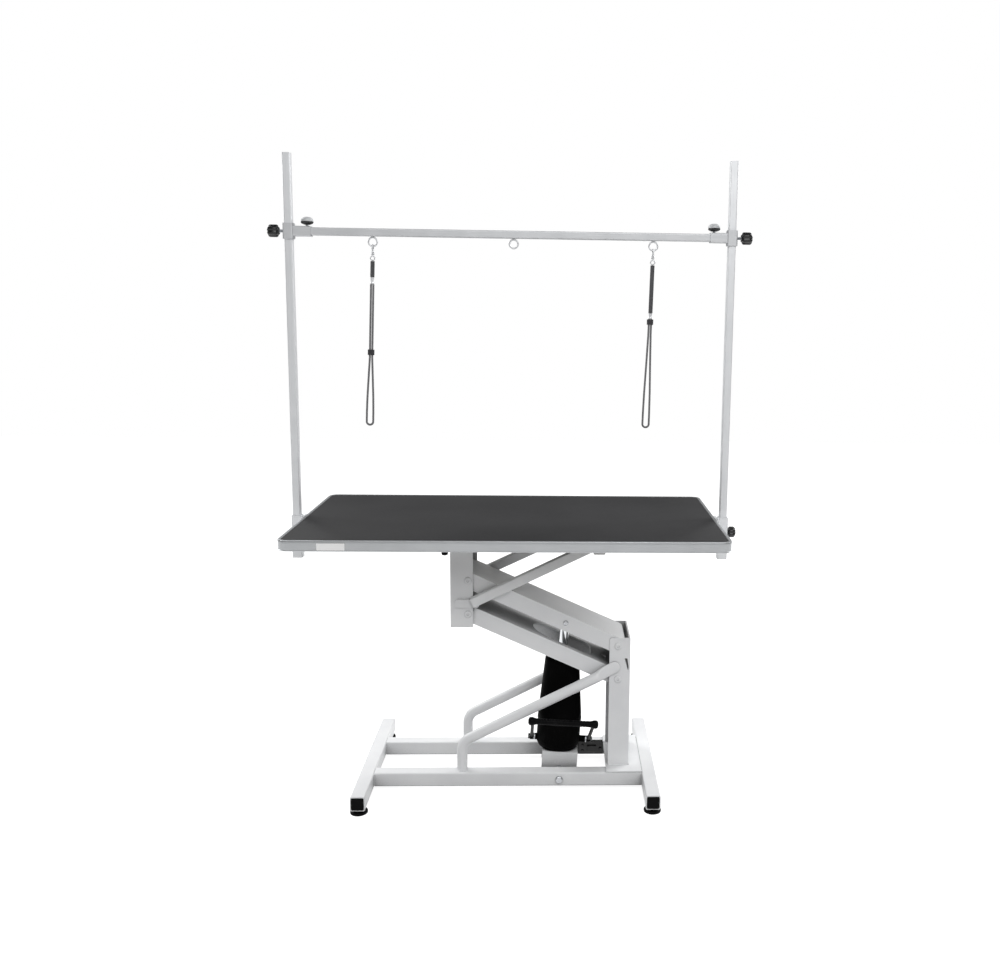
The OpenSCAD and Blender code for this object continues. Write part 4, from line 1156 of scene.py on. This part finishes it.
@dataclass
class FootPump:
    """Yoke, body, cover, cylinder, ram and pedal, in millimetres of the pump's frame."""

    shift: float = -7.0
    tilt: float = 1.2
    body_r: float = 60.0
    seam: float = 130.0
    top: float = 310.0
    top_r: float = 47.0
    top_edge: float = 12.0
    half_depth: float = 42.0
    gland_r: float = 24.5
    pivot_shift: float = -1.5
    pivot_y: float = -5.0
    pivot_z: float = 70.0
    pivot_half: float = 79.0
    tread_shift: float = -0.5
    tread_out: float = 145.0
    tread_up: float = 105.5
    tread_len: float = 185.0
    tread_r: float = 9.0

    def build(self) -> None:
        """Makes and dresses the pump, its ram and its pedal."""
        dress(WHITE, "pump_yoke", bevel=0.8)
        dress(COVER, "pump_bucket", bevel=0.8)
        dress(ZINC, "pump_cylinder", bevel=0.6)
        dress(CHROME, "ram_rod", bevel=0.8)
        self.cover()
        self.pivot_bolts()
        self.tread()
        self.pedal()

    def cover(self) -> None:
        """The cover: round at its foot, flat-sided above, rounded and open at the top."""
        at = pump_frame()
        shoulder = self.top - self.top_edge
        levels = [(self.seam, 0), (self.seam + 3, 0), (self.seam + 10, 0.25), (self.seam + 18, 0.6),
                  (self.seam + 28, 0.9), (self.seam + 40, 1.0), (200, 1.0), (240, 1.0), (275, 1.0)]
        levels += [(shoulder + self.top_edge * math.sin(math.radians(a)), 1.0)
                   for a in range(0, 91, 15)]
        rings = []
        for z, flat in levels:
            t = max(0.0, (z - self.seam - 14) / (shoulder - self.seam - 14))
            above = max(0.0, z - shoulder)
            drop = self.top_edge - math.sqrt(max(0.0, self.top_edge ** 2 - above ** 2))
            wide = self.body_r + (self.top_r - self.body_r) * min(t, 1.0) - drop
            deep = wide + (min(self.half_depth - drop * 0.6, wide) - wide) * flat
            off = self.shift - (z - self.seam) * math.tan(math.radians(self.tilt))
            rings.append(self.oval(wide, deep, 2.0 + 1.1 * flat, z, off, at))
        for z in (self.top - 0.8, self.top - 14):
            rings.append(self.oval(self.gland_r, self.gland_r, 2.0, z, 0.0, at))
        piece = Piece("pump_cover")
        piece.skin(rings, caps=False)
        piece.done(COVER, "pump", ("pump_boot",), smooth=38)
        band = Piece("pump_cover_band")
        z = self.seam - 1
        hoop = ((0.0, -4.2), (0.7, -3.8), (0.9, -3), (0.9, 3), (0.7, 3.8), (0.0, 4.2))
        band.skin([self.oval(self.body_r + d, self.body_r + d, 2.0, z + h, self.shift, at)
                   for d, h in hoop], caps=False)
        band.done(BLACK, "pump")

    @staticmethod
    def oval(wide: float, deep: float, power: float, z: float, shift: float,
             at: Matrix) -> list[Vector]:
        """A ring between an ellipse and a rounded rectangle."""
        return [at @ Vector((shift + x, y, z))
                for x, y in superdisc(wide, deep, (2 / power, 2 / power), 64)]

    def pivot_bolts(self) -> None:
        """Bright nuts and washers at the pedal's pivot."""
        piece = Piece("pedal_pivot_nuts")
        for sx in (-1, 1):
            nut, washer = (pump_frame() @ facing(
                (self.pivot_shift + sx * (self.pivot_half + off), self.pivot_y, self.pivot_z),
                (sx, 0, 0)) for off in (5.3, -9.6))
            add_hex_head(piece, nut, 12.5, 4.5, 14)
            piece.lathe([(5, 0), (8.6, 0), (9.2, 0.8), (9.2, 3.4), (8.6, 4.2), (5, 4.2)], washer,
                        32, loop=True)
        piece.done(ZINC, "pump")

    def ends(self) -> tuple[Vector, Vector]:
        """Ends of the tread's axis in the pump's frame."""
        y, z = self.pivot_y - self.tread_out, self.pivot_z + self.tread_up
        x = self.tread_shift
        return Vector((x - self.tread_len / 2, y, z)), Vector((x + self.tread_len / 2, y, z))

    def tread(self) -> None:
        """Rubber tread: swollen ends and shallow grip rings."""
        start, _ = self.ends()
        r, span = self.tread_r, self.tread_len
        profile = [(0.3, 0), (r - 4, 0.2), (r - 0.5, 1.6), (r + 1.4, 4.5), (r + 2, 8),
                   (r + 1.6, 12), (r + 0.2, 17), (r - 1, 22)]
        x = 30.0
        while x < span - 30:
            profile += [(r - 1, x), (r - 1.7, x + 0.8), (r - 1.7, x + 2.0), (r - 1, x + 2.8)]
            x += 7.5
        profile += [(q, span - p) for q, p in reversed(profile[:8])]
        piece = Piece("pedal_grip")
        piece.lathe(profile, pump_frame() @ facing(start, (1, 0, 0)), 40)
        piece.done(BLACK, "pedal", ("pedal_tread",))

    def pedal(self) -> None:
        """Pedal arms from the hubs to the core of the tread."""
        low, high = self.ends()
        at = pump_frame()
        piece = Piece("pedal_arms")
        for sx in (-1, 1):
            hub = Vector((self.pivot_shift + sx * self.pivot_half, self.pivot_y, self.pivot_z))
            tip = Vector((self.tread_shift + sx * (self.tread_len / 2 - 12), low.y, low.z))
            piece.lathe(eased(4.2, 9, -5, 5, 0.6), at @ facing(hub, (1, 0, 0)), 32, loop=True)
            way = (tip - hub).normalized()
            path = [at @ (hub + way * 6)]
            path += [at @ hub.lerp(tip, t) for t in (0.15, 0.3, 0.5, 0.7, 0.85, 1.0)]
            piece.sweep(path, lambda i: rounded(9.4 - 0.25 * i, 9.4 - 0.25 * i, 3.2),
                        at.to_3x3() @ RIGHT)
        piece.lathe([(0.3, 4), (4.9, 4), (4.9, self.tread_len - 4), (0.3, self.tread_len - 4)],
                    at @ facing(low, (1, 0, 0)), 24)
        piece.done(BLACK, "pedal", ("pedal_frame",), smooth=45)


@dataclass
class TableTop:
    """Board, mat, edge profile, under frame, bracket, stays and post sleeves, in millimetres."""

    length: float = 1100.0
    depth: float = 600.0
    top: float = TOP_Z
    thick: float = 27.0
    edge: float = 8.0
    corner: float = 25.0
    mat: float = 3.5
    inset: float = 0.9
    frame_depth: float = 22.0
    plate: float = 6.0

    def build(self) -> None:
        """Makes and dresses the table."""
        dress(PLY, "table_board")
        dress(WHITE, "table_bracket", bevel=0.8)
        dress(WHITE, "front_table_stay", "rear_table_stay", "under_frame_long", "under_frame_cross")
        dress(POST_STEEL, "left_sleeve", "right_sleeve", bevel=0.6)
        self.edge_profile()
        self.mat_sheet()
        self.plate_and_screws()
        self.knob_below()
        self.bolts_below()
        self.bracket_welds()

    def around(self, out: float, z: float, count: int = 10) -> list[Vector]:
        """Points round the table at a distance outside its edge."""
        outline = rounded(self.length + 2 * out, self.depth + 2 * out, self.corner + out, count)
        return [Vector((x, y, z)) for x, y in outline]

    def edge_profile(self) -> None:
        """Extruded aluminium edge: lip over the mat, recessed face, bead at the foot."""
        low, high = self.top - self.thick, self.top
        lip = high - 5.4
        section = [(-self.edge, low), (-1.2, low), (-0.3, low + 0.4), (0, low + 1.2),
                   (0, low + 2.2), (-self.inset, low + 3.0), (-self.inset, lip - 0.8), (0, lip),
                   (0, high - 1.4), (-0.5, high - 0.4), (-1.6, high), (-self.edge + 1.2, high),
                   (-self.edge, high - 0.6)]
        rings = [self.around(out, z) for out, z in section]
        piece = Piece("aluminium_edge")
        piece.skin(rings, closed=True)
        piece.done(TRIM, "table", ("edge_trim", "trim_corners"), smooth=30)

    def mat_sheet(self) -> None:
        """Rubber mat with an eased rim, inside the edge profile."""
        z1 = self.top - 0.5
        z0 = z1 - self.mat
        rings = [self.around(-self.edge - 0.1, z0), self.around(-self.edge - 0.1, z1 - 0.6),
                 self.around(-self.edge - 0.7, z1)]
        piece = Piece("rubber_top_mat")
        piece.skin(rings)
        piece.done(RUBBER, "table", ("rubber_mat",), smooth=50)

    def plate_and_screws(self) -> None:
        """Blank white plate and small dark screws in the recessed front face."""
        face = self.depth / 2 - self.inset
        wide, tall, mid_x, drop = 67, 17.6, -419.5, 15.1
        plate = Piece("blank_plate")
        outline = [(x + mid_x, z + self.top - drop) for x, z in rounded(wide, tall, 1.5)]
        plate.skin([[Vector((x, -face - d, z)) for x, z in outline] for d in (-0.05, 0.6)])
        plate.done(LABEL, "table")
        screw_x, drop = 454, 17
        screws = Piece("edge_screws")
        for sy in (-1, 1):
            seat = Vector((screw_x, sy * face, self.top - drop))
            screws.lathe([(0.3, 0), (2.6, 0), (2.4, 0.5), (1.8, 0.8), (1.1, 0.8), (0.9, 0.2),
                          (0.3, 0.2)], facing(seat, (0, sy, 0)), 20)
        screws.done(ZINC, "table")

    def knob_below(self) -> None:
        """Turned knob below the front edge."""
        x, inset, drop = -150, 22, 12
        at = Matrix.Translation((x, -self.depth / 2 + inset, self.top - self.thick - drop))

        def grips(radius: float, height: float, angle: float) -> float:
            """Fluted rim."""
            grip = radius > 6.8 and 1 < height < 7.8
            return radius - (0.6 * max(0.0, math.cos(10 * angle)) if grip else 0.0)
        piece = Piece("under_table_knob")
        piece.lathe([(0.3, 0), (5, 0), (6.6, 0.6), (7.6, 2), (8, 4), (8, 6.6), (7.4, 7.6), (4.2, 8),
                     (4, 12), (0.3, 12)], at, 80, shape=grips)
        piece.done(BLACK, "table", ("under_knob",))

    def bolts_below(self) -> None:
        """Hexagon bolts of the under frame and sleeve brackets, and the stay pads' end plates."""
        piece = Piece("under_table_bolts")
        across, height, washer = 10, 5, 14
        under = self.top - self.thick
        for sx in (-1, 1):
            for x in (490, 520):
                for y in (-20, 20):
                    seat = (sx * x, y, under - self.plate)
                    add_hex_head(piece, facing(seat, -UP), across, height, washer)
            for x in (460, 250, 60):
                for y in (-95, 95):
                    seat = (sx * x, y, under - self.frame_depth)
                    add_hex_head(piece, facing(seat, -UP), across, height, washer)
        piece.done(ZINC, "table")
        pad_x, outer, inner = 227.7, 229.7, 227.7
        outline = [(x + pad_x, z + under - self.frame_depth / 2) for x, z in
                   rounded(25.8, 17.8, 1.2)]
        ends = Piece("stay_pad_ends")
        for sy in (-1, 1):
            ends.skin([[Vector((x, y, z)) for x, z in outline]
                       for y in sorted((sy * outer, sy * inner), reverse=True)])
        ends.done(WHITE, "table")

    def bracket_welds(self) -> None:
        """Painted weld beads under the bracket's top plate."""
        piece = Piece("bracket_weld_beads")
        z = self.top - self.thick - self.frame_depth - self.plate - 0.4
        left, right, half = -158.6, -99.0, CHEEK_Y
        for y in (-half - 0.4, half + 0.4):
            add_weld(piece, [(left + 1, y, z), (right - 1, y, z)], 1.8, UP)
        add_weld(piece, [(left - 0.4, -half, z), (left - 0.4, half, z)], 1.8, UP)
        piece.done(WHITE, "table", smooth=60)


@dataclass
class Overhead:
    """Posts, bar, collars, clamping knobs and hanging eyes, in millimetres."""

    post_x: float = 572.3
    post: float = 20.0
    bar_half: float = 10.0
    top: float = TOP_Z
    knob_r: float = 16.0
    cap_x: float = 525.3

    def build(self) -> None:
        """Makes and dresses the overhead frame."""
        dress(POST_STEEL, "left_post", "right_post", "post_plugs")
        dress(BAR_STEEL, "crossbar")
        dress(BAR_STEEL, "left_collar", "right_collar", bevel=0.6)
        for side in Side:
            self.star_knob(side, "collar", z=BAR_Z, shank=14.2, span=29, radius=16,
                           way=(side.value, 0))
            self.cap_knob(side)
        # The left post's lower knob stands at the back, where the photo does not show it.
        for side, way in ((Side.LEFT, (0, 1)), (Side.RIGHT, (1, 0))):
            self.star_knob(side, "sleeve", z=self.top - 41, shank=3.5, span=22, radius=15, way=way)
        self.eyes()

    def star_knob(self, side: Side, kind: str, z: float, shank: float, span: float, radius: float,
                  way: tuple[int, int]) -> None:
        """Lobed black knob with its screw, pointing away from the table.

        Args:
            side: which post.
            kind: sleeve or collar.
            z: height of its axis.
            shank: distance from the screw's tip to the knob.
            span: length of the knob.
            radius: outside radius.
            way: the level direction that it points to.
        """
        reach = self.post / 2 + 0.3
        off = 2.5 * abs(way[1])
        at = facing((side.value * (self.post_x + off) + way[0] * reach, way[1] * reach, z),
                    (way[0], way[1], 0))
        name = f"{side.word}_{kind}"

        def lobes(r: float, height: float, angle: float) -> float:
            """Six finger hollows."""
            grip = radius - 5 < r and shank + 3 < height
            return r - (2.6 * (0.5 + 0.5 * math.cos(6 * angle)) ** 2 if grip else 0.0)
        piece = Piece(f"{name}_star_knob")
        end = shank + span
        piece.lathe([(4.2, shank), (radius - 7, shank), (radius - 6.4, shank + 1.6),
                     (radius - 1.4, shank + 3.6), (radius, shank + 6), (radius, end - 6),
                     (radius - 1.2, end - 3), (radius - 4.4, end - 1), (radius - 8, end),
                     (0.3, end), (0.3, shank + 3), (4.2, shank + 2)], at, 96, shape=lobes)
        piece.done(GLOSS_BLACK, f"{name}_screw", (f"{name}_knob",), smooth=40)
        screw = Piece(f"{name}_screw_thread")
        profile = [(0.3, 0.1)]
        z0 = 0.2
        while z0 < shank - 0.6:
            profile += [(3.5, z0), (3.95, z0 + 0.5)]
            z0 += 1.1
        screw.lathe(profile + [(3.5, shank + 0.5), (0.3, shank + 1)], at, 24)
        screw.done(ZINC, f"{name}_screw")

    def cap_knob(self, side: Side) -> None:
        """Round knob on the bar's socket: black skirt, and a domed cap painted light grey as a
        painted highlight.
        """
        at = Matrix.Translation((side.value * self.cap_x, 0, BAR_Z + self.bar_half + 0.3))
        r = self.knob_r

        def flutes(radius: float, height: float, angle: float) -> float:
            """Fine grip flutes round the skirt."""
            grip = radius > r - 2.6 and 9 < height < 19
            return radius - (0.5 + 0.5 * math.cos(24 * angle) if grip else 0.0)
        skirt = Piece(f"{side.word}_bar_knob_skirt")
        skirt.lathe([(3.9, 6), (6, 6), (8, 6.6), (r - 3, 8.4), (r - 0.8, 10.2), (r, 12), (r, 13.4),
                     (r - 0.7, 14.2), (3.9, 14.2)], at, 96, loop=True, shape=flutes)
        skirt.done(GLOSS_BLACK, f"{side.word}_bar_screw",
                   (f"{side.word}_bar_knob",), smooth=40)
        # The cap's light grey is a painted highlight of the overhead lamp on the black knob.
        cap = Piece(f"{side.word}_bar_knob_cap")
        cap.lathe([(0.3, 13), (r - 1.2, 14.25), (r - 0.4, 14.8), (r - 0.3, 16.6), (r - 1.4, 20.4),
                   (r - 4, 23.6), (r - 8, 25.4), (r - 12, 26.2), (0.3, 26.3)], at, 64)
        cap.done(KNOB_DOME_HIGHLIGHT, f"{side.word}_bar_screw", smooth=40)
        screw = Piece(f"{side.word}_bar_knob_thread")
        screw.lathe([(0.3, 0), (3.4, 0), (3.9, 0.5), (3.4, 1), (3.9, 1.5), (3.4, 2), (3.9, 2.6),
                     (3.9, 15), (0.3, 15.5)], at, 24)
        screw.done(ZINC, f"{side.word}_bar_screw")

    def eyes(self) -> None:
        """Three hanging eyes, each a welded ring on a screwed shank with a nut."""
        ring_r, wire = 11.0, EYE_WIRE_R
        piece = Piece("hanging_eyes")
        for i in (-1, 0, 1):
            at = Matrix.Translation((i * EYE_PITCH + EYE_SHIFT, 0, HANG_Z + ring_r))
            flat = at @ Matrix.Rotation(math.pi / 2, 4, "X")
            piece.ring(ring_r, flat, 56, lambda k: disc(wire, 16))
            piece.lathe([(0.3, ring_r - 1), (2.45, ring_r - 1), (2.45, ring_r + 16),
                         (0.3, ring_r + 16)], at, 20)
            add_hex_head(piece, at @ Matrix.Translation((0, 0, ring_r + wire - 1.9)), 8, 1.9)
        piece.done(NICKEL, "bar", ("eye_rings",))


def main() -> None:
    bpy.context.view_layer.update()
    PhotoCamera().build()
    Noose(Side.LEFT, lean=2.0, band=(38.0, 79.0), ferrule_end=97.0, length=0.7435,
          keys=((97, 3.1), (286, 3.1), (330, 5), (390, 7.6), (430, 8.4), (460, 8.4))).build()
    Noose(Side.RIGHT, lean=1.3, band=(38.0, 162.0), ferrule_end=177.0, length=0.5835,
          keys=((177, 3.1), (216, 3.1), (290, 5), (370, 7.4), (430, 8.4), (460, 8.4))).build()
    for assembly in (BaseFrame(), LiftArms(), FootPump(), TableTop(), Overhead()):
        assembly.build()
        log.info("%s built", type(assembly).__name__)
    Studio().build()
    bpy.context.scene.view_settings.view_transform = "Standard"


if __name__ == "__main__":
    logging.basicConfig(level=logging.INFO, format="%(name)s: %(message)s")
    main()
